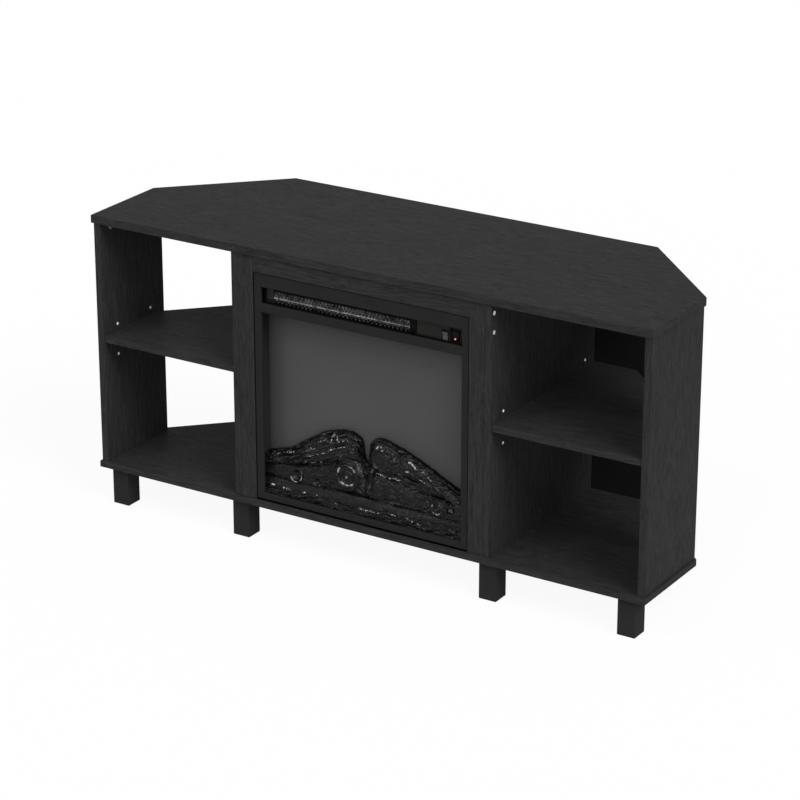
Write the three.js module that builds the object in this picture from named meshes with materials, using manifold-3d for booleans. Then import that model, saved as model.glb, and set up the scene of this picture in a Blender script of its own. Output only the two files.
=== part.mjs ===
// Corner fireplace TV stand: a six-sided cabinet with four open shelf bays
// round a built-in electric fireplace insert.
//
// Millimetres. +X is to the right, the front faces -Y and +Z is up. The origin
// lies on the floor, under the middle of the cabinet.

import * as THREE from "three";
import { mergeVertices } from "three/addons/utils/BufferGeometryUtils.js";
import Module from "manifold-3d";

const wasm = await Module();
wasm.setup();

// Cabinet boards
const topWidth = 1200;
const topDepth = 400;
const straightSideDepth = 200;
const topThickness = 16;
const bottomThickness = 13;
const clearHeight = 488;
const boardOverhang = 3.5;
const sideThickness = 14;
const dividerThickness = 13;
// The middle bay's share of the top's width
const centreBayShare = 0.444;
const backThickness = 3;
const backInset = 8;
const backEndSetback = 11;
const edgeBevel = 0.7;

// Cord outlet low in the middle of the back panel
const outletWidth = 80;
const outletHeight = 50;
const outletRise = 24;
const outletCornerRadius = 12;
const outletCornerSteps = 5;

// Face frame round the insert
const stileWidth = 34;
const frameThickness = 16;
const frameRecess = 1;
const railHeight = 32;
const stretcherHeight = 60;

// Legs, screwed into the bottom board by a stud
const legSize = 36;
const legHeight = 75;
const legInset = 10;
const outerLegInset = 23;
const rearLegInset = 23;
const legBevel = 1.5;
const legStudRadius = 4;
const legStudLength = 9;

// Adjustable shelves, their pins and the rows of pin holes
const shelfThickness = 13;
const shelfTopHeight = 348;
const shelfRecess = 3;
const shelfEndGap = 1;
const shelfChamferSetback = 29.4;
const holePitch = 31;
const holeRowShares = [-1, 0, 1];
const pinRadius = 2.5;
const pinDepth = 8;
const pinCollarRadius = 5;
const pinCollarThickness = 1.2;
const pinTabWidth = 8;
const pinTabThickness = 2.4;
const pinTabLength = 8;
const pinDrop = 4.5;
const pinFrontSetback = 45;
const sidePinRearSetback = 45;
const dividerPinRearSetback = 36.5;

// Cam locks in the side panels and screws that hold the stiles
const camRadius = 7.5;
const camDepth = 10;
const camDrop = 12;
const camFrontSetback = 35;
const camRearSetback = 35;
const camSlotWidth = 2;
const camSlotLength = 10;
const camSlotDepth = 1.5;
const frameScrewHeadRadius = 4;
const frameScrewHeadDepth = 3;
const frameScrewRadius = 2;
const frameScrewLength = 33;
const frameScrewSlotWidth = 1;
const frameScrewDrops = [17.6, 53.9];

// Clearances
const fitGap = 0.3;
const overrun = 5;
const weldDistance = 0.0001;

// Fireplace insert: bezel and steel case
const insertSideGap = 1;
const insertBottomGap = 3;
const insertTopGap = 0.5;
const bezelRecess = 2;
const bezelThickness = 6;
const bezelSideBorder = 15;
const bezelBottomBorder = 12.5;
const bezelTopBorder = 27;
const bezelBevel = 1;
const slotHeight = 32.5;
const slotStrip = 17;
const caseSheet = 1.5;
const caseSideSetback = 2.5;
const caseTopSetback = 2.5;
const caseDepth = 140;
const caseFootRadius = 9;
const caseFootInset = 30;
const heaterDeckDrop = 4;
const deckLipHeight = 7;

// Firebox: flame screen, ember bed and logs
const screenSetback = 35;
const screenThickness = 3;
const bedSetback = 2;
const bedLipDepth = 12;
const bedLipHeight = 32;
const bedSeatHeight = 19.5;
const bedRippleHeight = 2.2;
const bedRippleCount = 17;
const bedStations = 44;
const bedRiseShare = 0.3;
const slowRippleShare = 0.37;
const bulgeRippleShare = 1.3;
// Points of the lip from back to front: shares of its depth and of its height
const bedLipShares = [[1, 0], [0.9, 0.5], [0.7, 0.88], [0.45, 1], [0.2, 0.83], [0, 0.35], [0, 0]];
const logBackGap = 0.5;
const logDepth = 26;
const lowerLogDepth = 20;
const lowerLogForward = 6;
const logRings = 20;
const logSides = 16;
const logCurveTension = 0.5;
const furrowDepthShare = 0.09;
const furrowCount = 7;
const furrowTwist = 5;
const logMiddleGap = 4;
const stubLength = 9;
const stubTaperShare = 0.82;

// Heater and cross-flow blower behind the warm-air slot
const heaterLeft = 20.3;
const heaterFrontSetback = 8;
const heaterDepth = 12;
const heaterRailHeight = 2.6;
const heaterLowRailRise = 4.8;
const heaterLowPitch = 9.7;
const heaterHighPitch = 14;
const heaterFinThickness = 0.7;
const heaterFinPitch = 17;
const heaterBlockWidth = 16;
const grilleSetback = 2;
const grilleRim = 3.5;
const grilleDepth = 3;
const grilleSlatThickness = 1.2;
const grilleSlatDepth = 5;
const grilleSlatTilt = 25;
const grilleSlatRises = [12.2, 30.5];
const grilleRibs = 7;
const grilleRibWidth = 1.2;
const wheelRadius = 19;
const wheelBladeDepth = 5;
const wheelBladeThickness = 0.9;
const wheelBladeLean = 35;
const wheelBlades = 18;
const blowerMotorSetback = 25.3;
const wheelDiscThickness = 1.6;
const wheelEndGap = 4;
const blowerShaftRadius = 2.5;
const housingSheet = 1.2;
const housingRadius = 27.95;
const housingTongueLength = 34;
const housingSweep = 115;
const blowerMotorRadius = 20;
const blowerMotorLength = 42;
const motorFootWidth = 26;
const shaftEngagement = 10;

// Flame spindle, its motor and the lamp strip under it
const spindleRadius = 2;
const spindleEndInset = 0.4;
const spindleSetback = 85;
const spindleRise = 47;
const paddleReach = 22;
const paddleWidth = 24;
const paddleEndRoom = 24;
const paddleThickness = 0.8;
const paddleStations = 10;
const paddlesPerStation = 3;
const paddleTurn = 36;
const flameMotorRadius = 18;
const flameMotorLength = 58;
const lampStripEndRoom = 27.5;
const lampStripDepth = 14;
const lampStripThickness = 1.6;
const lampStripSetback = 52;
const lampRadius = 2.6;
const lampCount = 7;

// Controls at the right end of the slot
const controlWidth = 69;
const receiverBayWidth = 31.7;
const controlSetback = 5.2;
const controlSheet = 1.5;
const controlReturn = 18;
const receiverRecess = 10;
const rockerWidth = 10;
const rockerHalfLength = 8.6;
const rockerDepth = 5;
const rockerBack = 3;
const rockerBackShare = 0.7;
const rockerTilt = 8;
const rockerFromRight = 8.7;
const rockerDrop = 22.3;
const rockerPinRadius = 1.3;
const rockerPinLength = 1;
const rockerWall = 1.3;
const rockerRimOverlap = 0.6;
const rockerRimDepth = 1;
const rockerHousingDepth = 14;
const rockerEndRoom = 1.6;
const receiverWidth = 14;
const receiverHeight = 18;
const receiverDepth = 5;
const receiverFromControl = 8.5;
const receiverDrop = 21.7;
const ledRadius = 1.7;
const ledRise = 3.4;
const ledStandOut = 0.9;
const ledShoulderShare = 0.7;

// Back of the insert and the clips that hold it
const coverVentWidth = 4;
const coverVentHeight = 34;
const coverVentPitch = 19;
const coverVents = 17;
const lowVentHeight = 20;
const lowVentRise = 40;
const lowVents = 7;
const glandRadius = 6;
const glandBore = 3.6;
const glandFlangeRadius = 9;
const glandFlangeThickness = 3;
const glandNose = 8;
const glandNoseRadius = 7.2;
const glandInset = 48;
const glandRise = 40;
const clipHeight = 60;
const clipLength = 45;
const clipSheet = 1.5;
const clipReach = 30;
const clipRise = 210;

// Heights and depths worked out from the sizes above
const floorOfBays = legHeight + bottomThickness;
const ceilingOfBays = floorOfBays + clearHeight;
const frontY = -topDepth / 2;
const panelFront = frontY + boardOverhang;
const panelHalfWidth = topWidth / 2 - boardOverhang;
const sideInner = panelHalfWidth - sideThickness;
const dividerInner = topWidth * centreBayShare / 2;
const dividerOuter = dividerInner + dividerThickness;
const chamferRun = topDepth - straightSideDepth;
const backFace = topDepth / 2 - backInset;
const dividerBack = backFace - backThickness;
const sideBack = frontY + straightSideDepth;
const frameFront = panelFront + frameRecess;
const frameBack = frameFront + frameThickness;
const openingHalf = dividerInner - stileWidth;
const openingTop = ceilingOfBays - railHeight;
const bezelFront = frameFront + bezelRecess;
const bezelBack = bezelFront + bezelThickness;
const bezelHalf = openingHalf - insertSideGap;
const bezelBottom = floorOfBays + insertBottomGap;
const bezelTop = openingTop - insertTopGap;
const windowHalf = bezelHalf - bezelSideBorder;
const slotTop = bezelTop - bezelTopBorder;
const slotBottom = slotTop - slotHeight;
const windowTop = slotBottom - slotStrip;
const windowBottom = bezelBottom + bezelBottomBorder;
const caseHalf = bezelHalf - caseSideSetback;
const caseInner = caseHalf - caseSheet;
const caseTop = bezelTop - caseTopSetback;
const caseFloor = bezelBottom + caseSheet;
const caseCeiling = caseTop - caseSheet;
const caseBack = bezelBack + caseDepth;
const heaterDeck = slotBottom - heaterDeckDrop;
const fireboxCeiling = heaterDeck - caseSheet;
const screenFront = bezelBack + screenSetback;
const shelfUnderside = shelfTopHeight - shelfThickness;
const pinRowHeight = shelfUnderside - pinDrop;
const pinFrontY = panelFront + pinFrontSetback;
const sidePinRearY = sideBack - sidePinRearSetback;
const dividerPinRearY = dividerBack - dividerPinRearSetback;

// Round shapes
const roundSides = 16;
const smallSides = 8;
const fullTurn = Math.PI * 2;

// Finishes, from the photograph
const blackWood = { color: 0x1b1b1b, roughness: 0.55, metalness: 0 };
const blackSteel = { color: 0x151515, roughness: 0.45, metalness: 0.3 };
const bezelPaint = { color: 0x141414, roughness: 0.5, metalness: 0.1 };
const legPlastic = { color: 0x171717, roughness: 0.5, metalness: 0 };
const bareAluminium = { color: 0xc4c6c8, roughness: 0.3, metalness: 1 };
const zincSteel = { color: 0x8d8f90, roughness: 0.35, metalness: 1 };
const smokedScreen = { color: 0x48484a, roughness: 0.3, metalness: 0 };
const logResin = { color: 0x1e1c1b, roughness: 0.4, metalness: 0 };
const darkPlastic = { color: 0x1a1a1c, roughness: 0.45, metalness: 0 };
const greyPlastic = { color: 0x303234, roughness: 0.45, metalness: 0 };
const palePlastic = { color: 0xb9bbbb, roughness: 0.35, metalness: 0 };
const redLens = { color: 0xd81e12, roughness: 0.15, metalness: 0 };

function degrees(angle) {
  return THREE.MathUtils.degToRad(angle);
}

// Turns a closed geometry into a solid that can be joined and cut
function solidOf(geometry) {
  const bare = geometry.clone();
  bare.deleteAttribute("normal");
  bare.deleteAttribute("uv");
  const merged = mergeVertices(bare, weldDistance);
  return new wasm.Manifold(new wasm.Mesh({
    numProp: 3,
    vertProperties: merged.attributes.position.array,
    triVerts: new Uint32Array(merged.index.array),
  }));
}

function geometryOf(solid) {
  const mesh = solid.getMesh();
  const geometry = new THREE.BufferGeometry();
  geometry.setAttribute("position", new THREE.BufferAttribute(mesh.vertProperties, 3));
  geometry.setIndex(new THREE.BufferAttribute(mesh.triVerts, 1));
  return geometry;
}

function join(...geometries) {
  const [first, ...rest] = geometries.map(solidOf);
  return geometryOf(rest.reduce((whole, next) => whole.add(next), first));
}

function cut(geometry, ...tools) {
  return geometryOf(tools.reduce((left, tool) => left.subtract(solidOf(tool)), solidOf(geometry)));
}

function keepInside(geometry, limits) {
  return geometryOf(solidOf(geometry).intersect(solidOf(limits)));
}

// A plain block between two values on each axis
function block(x0, x1, y0, y1, z0, z1) {
  const geometry = new THREE.BoxGeometry(x1 - x0, y1 - y0, z1 - z0);
  return geometry.translate((x0 + x1) / 2, (y0 + y1) / 2, (z0 + z1) / 2);
}

function outline(points) {
  return new THREE.Shape(points.map(([x, y]) => new THREE.Vector2(x, y)));
}

// A board with the given outline, lying flat, its lower face at zero height
function flatBoard(shape, thickness, bevel = edgeBevel) {
  const geometry = new THREE.ExtrudeGeometry(shape, {
    depth: thickness - 2 * bevel,
    bevelEnabled: true,
    bevelThickness: bevel,
    bevelSize: bevel,
    bevelOffset: -bevel,
    bevelSegments: 2,
  });
  return geometry.translate(0, 0, bevel);
}

// A board that stands across the cabinet: x0 to x1 wide and z0 to z1 high,
// its front face at yFront
function uprightFacingFront(x0, x1, z0, z1, yFront, thickness, bevel = edgeBevel) {
  const geometry = flatBoard(outline([[x0, z0], [x1, z0], [x1, z1], [x0, z1]]), thickness, bevel);
  return geometry.rotateX(Math.PI / 2).translate(0, yFront + thickness, 0);
}

// A board that stands along the depth: y0 to y1 deep and z0 to z1 high,
// from xLow to the right
function uprightAlongDepth(y0, y1, z0, z1, xLow, thickness) {
  const geometry = flatBoard(outline([[y0, z0], [y1, z0], [y1, z1], [y0, z1]]), thickness);
  return geometry.rotateY(Math.PI / 2).rotateX(Math.PI / 2).translate(xLow, 0, 0);
}

// Round bars along each axis, from one end to the other
function barX(radius, x0, x1, y, z, sides = roundSides, endRadius = radius) {
  const geometry = new THREE.CylinderGeometry(endRadius, radius, x1 - x0, sides);
  return geometry.rotateZ(-Math.PI / 2).translate((x0 + x1) / 2, y, z);
}

function barY(radius, y0, y1, x, z, sides = roundSides, endRadius = radius) {
  const geometry = new THREE.CylinderGeometry(endRadius, radius, y1 - y0, sides);
  return geometry.translate(x, (y0 + y1) / 2, z);
}

function barZ(radius, z0, z1, x, y, sides = roundSides) {
  const geometry = new THREE.CylinderGeometry(radius, radius, z1 - z0, sides);
  return geometry.rotateX(Math.PI / 2).translate(x, y, (z0 + z1) / 2);
}

// A bar along X that starts at the face xFace and runs length towards side
function barFrom(radius, xFace, length, side, y, z, sides, endRadius) {
  if (side > 0) return barX(radius, xFace, xFace + length, y, z, sides, endRadius);
  return barX(endRadius ?? radius, xFace - length, xFace, y, z, sides, radius);
}

// A block that starts at the face xFace and runs length towards side
function blockFrom(xFace, length, side, y0, y1, z0, z1) {
  const far = xFace + side * length;
  return block(Math.min(xFace, far), Math.max(xFace, far), y0, y1, z0, z1);
}

// A closed skin over rings of points that follow each other along +X
function loft(rings) {
  const sides = rings[0].length;
  const last = rings.length - 1;
  const total = (ring) => ring.reduce((sum, point) => sum.add(point), new THREE.Vector3());
  const middle = (ring) => total(ring).divideScalar(sides);
  const points = [...rings.flat(), middle(rings[0]), middle(rings[last])];
  const faces = [];
  for (let ring = 0; ring < last; ring += 1) {
    for (let side = 0; side < sides; side += 1) {
      const next = (side + 1) % sides;
      const here = ring * sides;
      const ahead = here + sides;
      faces.push(here + side, here + next, ahead + next, here + side, ahead + next, ahead + side);
    }
  }
  for (let side = 0; side < sides; side += 1) {
    const next = (side + 1) % sides;
    faces.push(points.length - 2, next, side);
    faces.push(points.length - 1, last * sides + side, last * sides + next);
  }
  const geometry = new THREE.BufferGeometry().setFromPoints(points);
  return geometry.setIndex(faces);
}

// The six-sided outline of the top and bottom boards
function cornerOutline() {
  const halfWidth = topWidth / 2;
  const halfBack = halfWidth - chamferRun;
  return outline([
    [-halfWidth, frontY],
    [halfWidth, frontY],
    [halfWidth, sideBack],
    [halfBack, topDepth / 2],
    [-halfBack, topDepth / 2],
    [-halfWidth, sideBack],
  ]);
}

function topPanel() {
  return flatBoard(cornerOutline(), topThickness).translate(0, 0, ceilingOfBays);
}

// Middle of each leg, seen from above
const outerLegX = topWidth / 2 - outerLegInset - legSize / 2;
const innerLegX = dividerInner + dividerThickness / 2;
const rearLegX = topWidth / 2 - chamferRun - rearLegInset - legSize / 2;
const frontLegY = frontY + legInset + legSize / 2;
const rearLegY = topDepth / 2 - legInset - legSize / 2;
const legPlaces = [
  ["front_left_leg", -outerLegX, frontLegY],
  ["front_inner_left_leg", -innerLegX, frontLegY],
  ["front_inner_right_leg", innerLegX, frontLegY],
  ["front_right_leg", outerLegX, frontLegY],
  ["rear_left_leg", -rearLegX, rearLegY],
  ["rear_right_leg", rearLegX, rearLegY],
];

function bottomPanel() {
  const board = flatBoard(cornerOutline(), bottomThickness).translate(0, 0, legHeight);
  const studTop = legHeight + legStudLength + fitGap;
  const radius = legStudRadius + fitGap;
  const holes = legPlaces.map(([, x, y]) => barZ(radius, legHeight - overrun, studTop, x, y));
  return cut(board, ...holes);
}

function leg() {
  const half = legSize / 2;
  const square = outline([[-half, -half], [half, -half], [half, half], [-half, half]]);
  const post = flatBoard(square, legHeight, legBevel);
  return join(post, barZ(legStudRadius, legHeight / 2, legHeight + legStudLength, 0, 0));
}

// Blind pin holes in a face at xFace, drilled towards side
function pinHoles(xFace, side, rearY) {
  const holes = [];
  for (const row of holeRowShares) {
    for (const y of [pinFrontY, rearY]) {
      const start = xFace - side * overrun;
      const z = pinRowHeight + row * holePitch;
      holes.push(barFrom(pinRadius + fitGap, start, overrun + pinDepth + fitGap, side, y, z, smallSides));
    }
  }
  return holes;
}

const camHeight = ceilingOfBays - camDrop;
const camPlaces = [
  ["front", panelFront + camFrontSetback],
  ["rear", sideBack - camRearSetback],
];

function sidePanel(side) {
  const xLow = side > 0 ? sideInner : -panelHalfWidth;
  const board = uprightAlongDepth(panelFront, sideBack, floorOfBays, ceilingOfBays, xLow, sideThickness);
  const face = side * sideInner;
  const camBores = camPlaces.map(([, y]) => (
    barFrom(camRadius + fitGap, face - side * overrun, overrun + camDepth + fitGap, side, y, camHeight)
  ));
  return cut(board, ...pinHoles(face, side, sidePinRearY), ...camBores);
}

function camLock(side, y) {
  const face = side * sideInner;
  const barrel = barFrom(camRadius, face, camDepth, side, y, camHeight);
  const start = face - side * overrun;
  const reach = overrun + camSlotDepth;
  const halfWidth = camSlotWidth / 2;
  const halfLength = camSlotLength / 2;
  const slot = (halfY, halfZ) => (
    blockFrom(start, reach, side, y - halfY, y + halfY, camHeight - halfZ, camHeight + halfZ)
  );
  return cut(barrel, slot(halfLength, halfWidth), slot(halfWidth, halfLength));
}

const screwY = frameFront + frameThickness / 2;

// A countersunk screw that goes in through the bay face of a divider
function frameScrewSolid(side, z, growth) {
  const face = side * dividerOuter;
  const start = face + side * growth;
  const headDepth = frameScrewHeadDepth + growth;
  const headRadius = frameScrewHeadRadius + growth;
  const radius = frameScrewRadius + growth;
  const head = barFrom(headRadius, start, headDepth, -side, screwY, z, roundSides, radius);
  const length = frameScrewLength + 2 * growth;
  return join(head, barFrom(radius, start, length, -side, screwY, z, smallSides));
}

function frameScrew(side, z) {
  const start = side * (dividerOuter + overrun);
  const reach = overrun + camSlotDepth;
  const half = frameScrewRadius;
  const thin = frameScrewSlotWidth / 2;
  const slot = (halfY, halfZ) => (
    blockFrom(start, reach, -side, screwY - halfY, screwY + halfY, z - halfZ, z + halfZ)
  );
  return cut(frameScrewSolid(side, z, 0), slot(half, thin), slot(thin, half));
}

const frameScrewHeights = frameScrewDrops.map((drop) => ceilingOfBays - drop);

function divider(side) {
  const xLow = side > 0 ? dividerInner : -dividerOuter;
  const board = uprightAlongDepth(
    panelFront, dividerBack, floorOfBays, ceilingOfBays, xLow, dividerThickness,
  );
  const screwHoles = frameScrewHeights.map((z) => frameScrewSolid(side, z, fitGap));
  return cut(board, ...pinHoles(side * dividerOuter, -side, dividerPinRearY), ...screwHoles);
}

function frameStile(side) {
  const x0 = side > 0 ? openingHalf : -dividerInner;
  const board = uprightFacingFront(
    x0, x0 + stileWidth, floorOfBays, ceilingOfBays, frameFront, frameThickness,
  );
  return cut(board, ...frameScrewHeights.map((z) => frameScrewSolid(side, z, fitGap)));
}

function frameTopRail() {
  return uprightFacingFront(
    -openingHalf, openingHalf, openingTop, ceilingOfBays, frameFront, frameThickness,
  );
}

function rearStretcher() {
  const bottom = ceilingOfBays - stretcherHeight;
  const front = dividerBack - frameThickness;
  return uprightFacingFront(-dividerInner, dividerInner, bottom, ceilingOfBays, front, frameThickness);
}

// Half the back panel's width, which stops short of the slanted back edges
const backHalf = topWidth / 2 - chamferRun + backInset - backEndSetback;

function backPanel() {
  const shape = outline([
    [-backHalf, floorOfBays],
    [backHalf, floorOfBays],
    [backHalf, ceilingOfBays],
    [-backHalf, ceilingOfBays],
  ]);
  const left = -outletWidth / 2;
  const right = outletWidth / 2;
  const low = floorOfBays + outletRise;
  const high = low + outletHeight;
  const r = outletCornerRadius;
  const hole = new THREE.Path();
  hole.moveTo(left + r, low);
  hole.lineTo(right - r, low);
  hole.absarc(right - r, low + r, r, -Math.PI / 2, 0, false);
  hole.lineTo(right, high - r);
  hole.absarc(right - r, high - r, r, 0, Math.PI / 2, false);
  hole.lineTo(left + r, high);
  hole.absarc(left + r, high - r, r, Math.PI / 2, Math.PI, false);
  hole.lineTo(left, low + r);
  hole.absarc(left + r, low + r, r, Math.PI, Math.PI * 3 / 2, false);
  shape.holes.push(hole);
  const sheet = new THREE.ExtrudeGeometry(shape, {
    depth: backThickness,
    bevelEnabled: false,
    curveSegments: outletCornerSteps,
  });
  return sheet.rotateX(Math.PI / 2).translate(0, backFace, 0);
}

// A shelf fits between a divider and a side panel, its back edge slanted
// alongside the slanted back of the cabinet
function shelf(side) {
  const near = dividerOuter + shelfEndGap;
  const far = sideInner - shelfEndGap;
  const front = panelFront + shelfRecess;
  const back = dividerBack - shelfEndGap;
  const slant = topWidth / 2 + sideBack - shelfChamferSetback * Math.SQRT2;
  const points = [[near, front], [far, front], [far, slant - far], [slant - back, back], [near, back]];
  const ordered = side > 0 ? points : points.map(([x, y]) => [-x, y]).reverse();
  return flatBoard(outline(ordered), shelfThickness).translate(0, 0, shelfUnderside);
}

// A shelf pin: shank in its hole, collar on the panel and a tab under the shelf
function shelfPin(xFace, side, y) {
  const shank = barFrom(pinRadius, xFace, pinDepth, side, y, pinRowHeight, smallSides);
  const collar = barFrom(pinCollarRadius, xFace, pinCollarThickness, -side, y, pinRowHeight, roundSides);
  const top = shelfUnderside;
  const half = pinTabWidth / 2;
  const tab = blockFrom(xFace, pinTabLength, -side, y - half, y + half, top - pinTabThickness, top);
  const reach = pinCollarRadius + overrun;
  const start = xFace + side * overrun;
  const aboveShelf = blockFrom(start, reach + overrun, -side, y - reach, y + reach, top, top + reach);
  return join(shank, cut(collar, aboveShelf), tab);
}

// The front of the insert: a flange with the warm-air slot and the window
function insertBezel() {
  const plate = uprightFacingFront(
    -bezelHalf, bezelHalf, bezelBottom, bezelTop, bezelFront, bezelThickness, bezelBevel,
  );
  const through = (z0, z1) => (
    block(-windowHalf, windowHalf, bezelFront - overrun, bezelBack + overrun, z0, z1)
  );
  const flared = (z0, z1) => {
    const half = windowHalf + bezelBevel;
    const rings = [
      [half, z0 - bezelBevel, z1 + bezelBevel, bezelFront],
      [windowHalf, z0, z1, bezelFront + bezelBevel],
    ];
    const [outer, inner] = rings.map(([x, low, high, y]) => {
      const corners = [[-x, low], [-x, high], [x, high], [x, low]];
      return corners.map(([cornerX, z]) => new THREE.Vector3(cornerX, y, z));
    });
    const ahead = outer.map((point) => point.clone().setY(bezelFront - overrun));
    return loft([ahead, outer, inner]);
  };
  const spans = [[slotBottom, slotTop], [windowBottom, windowTop]];
  return cut(plate, ...spans.flatMap(([z0, z1]) => [through(z0, z1), flared(z0, z1)]));
}

const spindleY = bezelBack + spindleSetback;
const spindleZ = caseFloor + spindleRise;

// The steel case is open at the front and back, with a lipped deck under the heater
function insertCase() {
  const shell = block(-caseHalf, caseHalf, bezelBack, caseBack, bezelBottom, caseTop);
  const room = (z0, z1) => (
    block(-caseInner, caseInner, bezelBack - overrun, caseBack + overrun, z0, z1)
  );
  const boreRadius = spindleRadius + fitGap;
  const bore = barX(boreRadius, -caseHalf - overrun, -caseInner + overrun, spindleY, spindleZ, smallSides);
  const opened = cut(shell, room(caseFloor, fireboxCeiling), room(heaterDeck, caseCeiling), bore);
  const feet = [];
  for (const x of [-caseHalf + caseFootInset, caseHalf - caseFootInset]) {
    for (const y of [bezelBack + caseFootInset, caseBack - caseFootInset]) {
      feet.push(barZ(caseFootRadius, floorOfBays, bezelBottom + caseSheet / 2, x, y, smallSides));
    }
  }
  const lipFront = bezelBack + fitGap;
  const lipTop = heaterDeck + deckLipHeight;
  const lip = block(-caseInner, caseInner, lipFront, lipFront + caseSheet, fireboxCeiling, lipTop);
  return join(opened, lip, ...feet);
}

const glandX = -caseHalf + glandInset;
const glandZ = bezelBottom + glandRise;

function insertBackCover() {
  const plate = block(-caseHalf, caseHalf, caseBack, caseBack + caseSheet, bezelBottom, caseTop);
  const y0 = caseBack - overrun;
  const y1 = caseBack + caseSheet + overrun;
  const half = coverVentWidth / 2;
  const slots = [];
  const addRow = (count, z0, height) => {
    for (let index = 0; index < count; index += 1) {
      const x = (index - (count - 1) / 2) * coverVentPitch;
      slots.push(block(x - half, x + half, y0, y1, z0, z0 + height));
    }
  };
  addRow(coverVents, (heaterDeck + caseCeiling - coverVentHeight) / 2, coverVentHeight);
  addRow(lowVents, bezelBottom + lowVentRise, lowVentHeight);
  return cut(plate, ...slots, barY(glandRadius + fitGap, y0, y1, glandX, glandZ));
}

// The bushing where the supply cord enters, with its bore open
function cordGland() {
  const outside = caseBack + caseSheet;
  const y0 = caseBack - glandNose;
  const y1 = outside + glandNose;
  const body = barY(glandRadius, y0, outside + glandFlangeThickness / 2, glandX, glandZ);
  const flange = barY(glandFlangeRadius, outside, outside + glandFlangeThickness, glandX, glandZ);
  const nose = barY(glandNoseRadius, outside, y1, glandX, glandZ, roundSides, glandRadius);
  const bore = barY(glandBore, y0 - overrun, y1 + overrun, glandX, glandZ, smallSides);
  return cut(join(body, flange, nose), bore);
}

function flameScreen() {
  const half = caseInner - fitGap;
  const back = screenFront + screenThickness;
  return block(-half, half, screenFront, back, caseFloor, fireboxCeiling - fitGap);
}

const bedFront = bezelBack + bedSetback;
const bedBack = screenFront - logBackGap;
const bedSeat = caseFloor + bedSeatHeight;

// The ember bed: a rippled lip along the front and a flat seat behind it
function emberBed() {
  const half = caseInner - fitGap;
  const rings = [];
  for (let station = 0; station <= bedStations; station += 1) {
    const along = station / bedStations;
    const x = THREE.MathUtils.lerp(-half, half, along);
    const phase = along * fullTurn * bedRippleCount;
    const ripple = bedRippleHeight * (Math.sin(phase) + Math.sin(phase * slowRippleShare)) / 2;
    const bulge = bedRippleHeight * (1 + Math.cos(phase * bulgeRippleShare)) / 2;
    const lipTop = caseFloor + bedLipHeight * (1 + bedRiseShare * (along - 1 / 2)) + ripple;
    const lip = bedLipShares.map(([depth, height]) => (
      [bedFront + bulge + (bedLipDepth - bulge) * depth, THREE.MathUtils.lerp(bedSeat, lipTop, height)]
    ));
    const profile = [[bedFront, caseFloor], [bedBack, caseFloor], [bedBack, bedSeat], ...lip];
    rings.push(profile.map(([y, z]) => new THREE.Vector3(x, y, z)));
  }
  return loft(rings);
}

// Stations along each log: place across the firebox, then the heights of its
// upper and lower outline above the ember bed's seat, as shares of the space
const logSpaceWidth = caseInner * 2;
const logSpaceHeight = windowTop - bedSeat;
const leftLogShares = [
  [0.0, 0.19, 0.05], [0.05, 0.215, 0.07], [0.115, 0.245, 0.085], [0.165, 0.283, 0.1],
  [0.24, 0.342, 0.11], [0.29, 0.374, 0.12], [0.35, 0.394, 0.13], [0.39, 0.4, 0.14],
  [0.425, 0.394, 0.15], [0.46, 0.377, 0.15], [0.478, 0.345, 0.15], [0.488, 0.27, 0.165],
];
const leftLowerShares = [
  [0.0, 0.075, 0.0], [0.06, 0.11, 0.0], [0.13, 0.14, 0.0], [0.2, 0.15, 0.0],
  [0.28, 0.16, 0.0], [0.35, 0.2, 0.02], [0.41, 0.235, 0.05], [0.45, 0.235, 0.07], [0.475, 0.2, 0.09],
];
const rightLogShares = [
  [0.503, 0.24, 0.2], [0.51, 0.35, 0.15], [0.53, 0.395, 0.13], [0.56, 0.4, 0.12],
  [0.62, 0.383, 0.12], [0.69, 0.353, 0.12], [0.76, 0.315, 0.11], [0.83, 0.272, 0.09],
  [0.89, 0.23, 0.07], [0.94, 0.205, 0.05], [1.0, 0.18, 0.04],
];
const rightLowerShares = [
  [0.52, 0.1, 0.0], [0.57, 0.15, 0.0], [0.64, 0.15, 0.0], [0.72, 0.13, 0.0],
  [0.8, 0.12, 0.0], [0.88, 0.115, 0.0], [0.95, 0.1, 0.0], [1.0, 0.08, 0.0],
];
// Knots and sawn branch ends that face the front: place, height and radius
const leftStubShares = [[0.165, 0.1, 0.034], [0.27, 0.085, 0.026], [0.41, 0.15, 0.062]];
const rightStubShares = [[0.585, 0.27, 0.045], [0.93, 0.075, 0.036]];

function logForm(stationShares, yMiddle, depth) {
  const stations = stationShares.map(([x, top, bottom]) => new THREE.Vector3(x, top, bottom));
  const path = new THREE.CatmullRomCurve3(stations, false, "catmullrom", logCurveTension);
  const halfSpan = caseInner - fitGap;
  const rings = [];
  for (let index = 0; index <= logRings; index += 1) {
    const place = path.getPoint(index / logRings);
    const x = THREE.MathUtils.clamp(-caseInner + place.x * logSpaceWidth, -halfSpan, halfSpan);
    const middle = bedSeat + logSpaceHeight * (place.y + place.z) / 2;
    const halfHeight = logSpaceHeight * (place.y - place.z) / 2;
    const ring = [];
    for (let side = 0; side < logSides; side += 1) {
      const angle = fullTurn * side / logSides;
      const phase = furrowCount * angle + furrowTwist * place.x * Math.sin(angle + place.x * fullTurn);
      const furrow = 1 - furrowDepthShare * (1 + Math.sin(phase)) / 2;
      const y = yMiddle + depth / 2 * Math.cos(angle) * furrow;
      ring.push(new THREE.Vector3(x, y, middle + halfHeight * Math.sin(angle) * furrow));
    }
    rings.push(ring);
  }
  return loft(rings);
}

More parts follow.
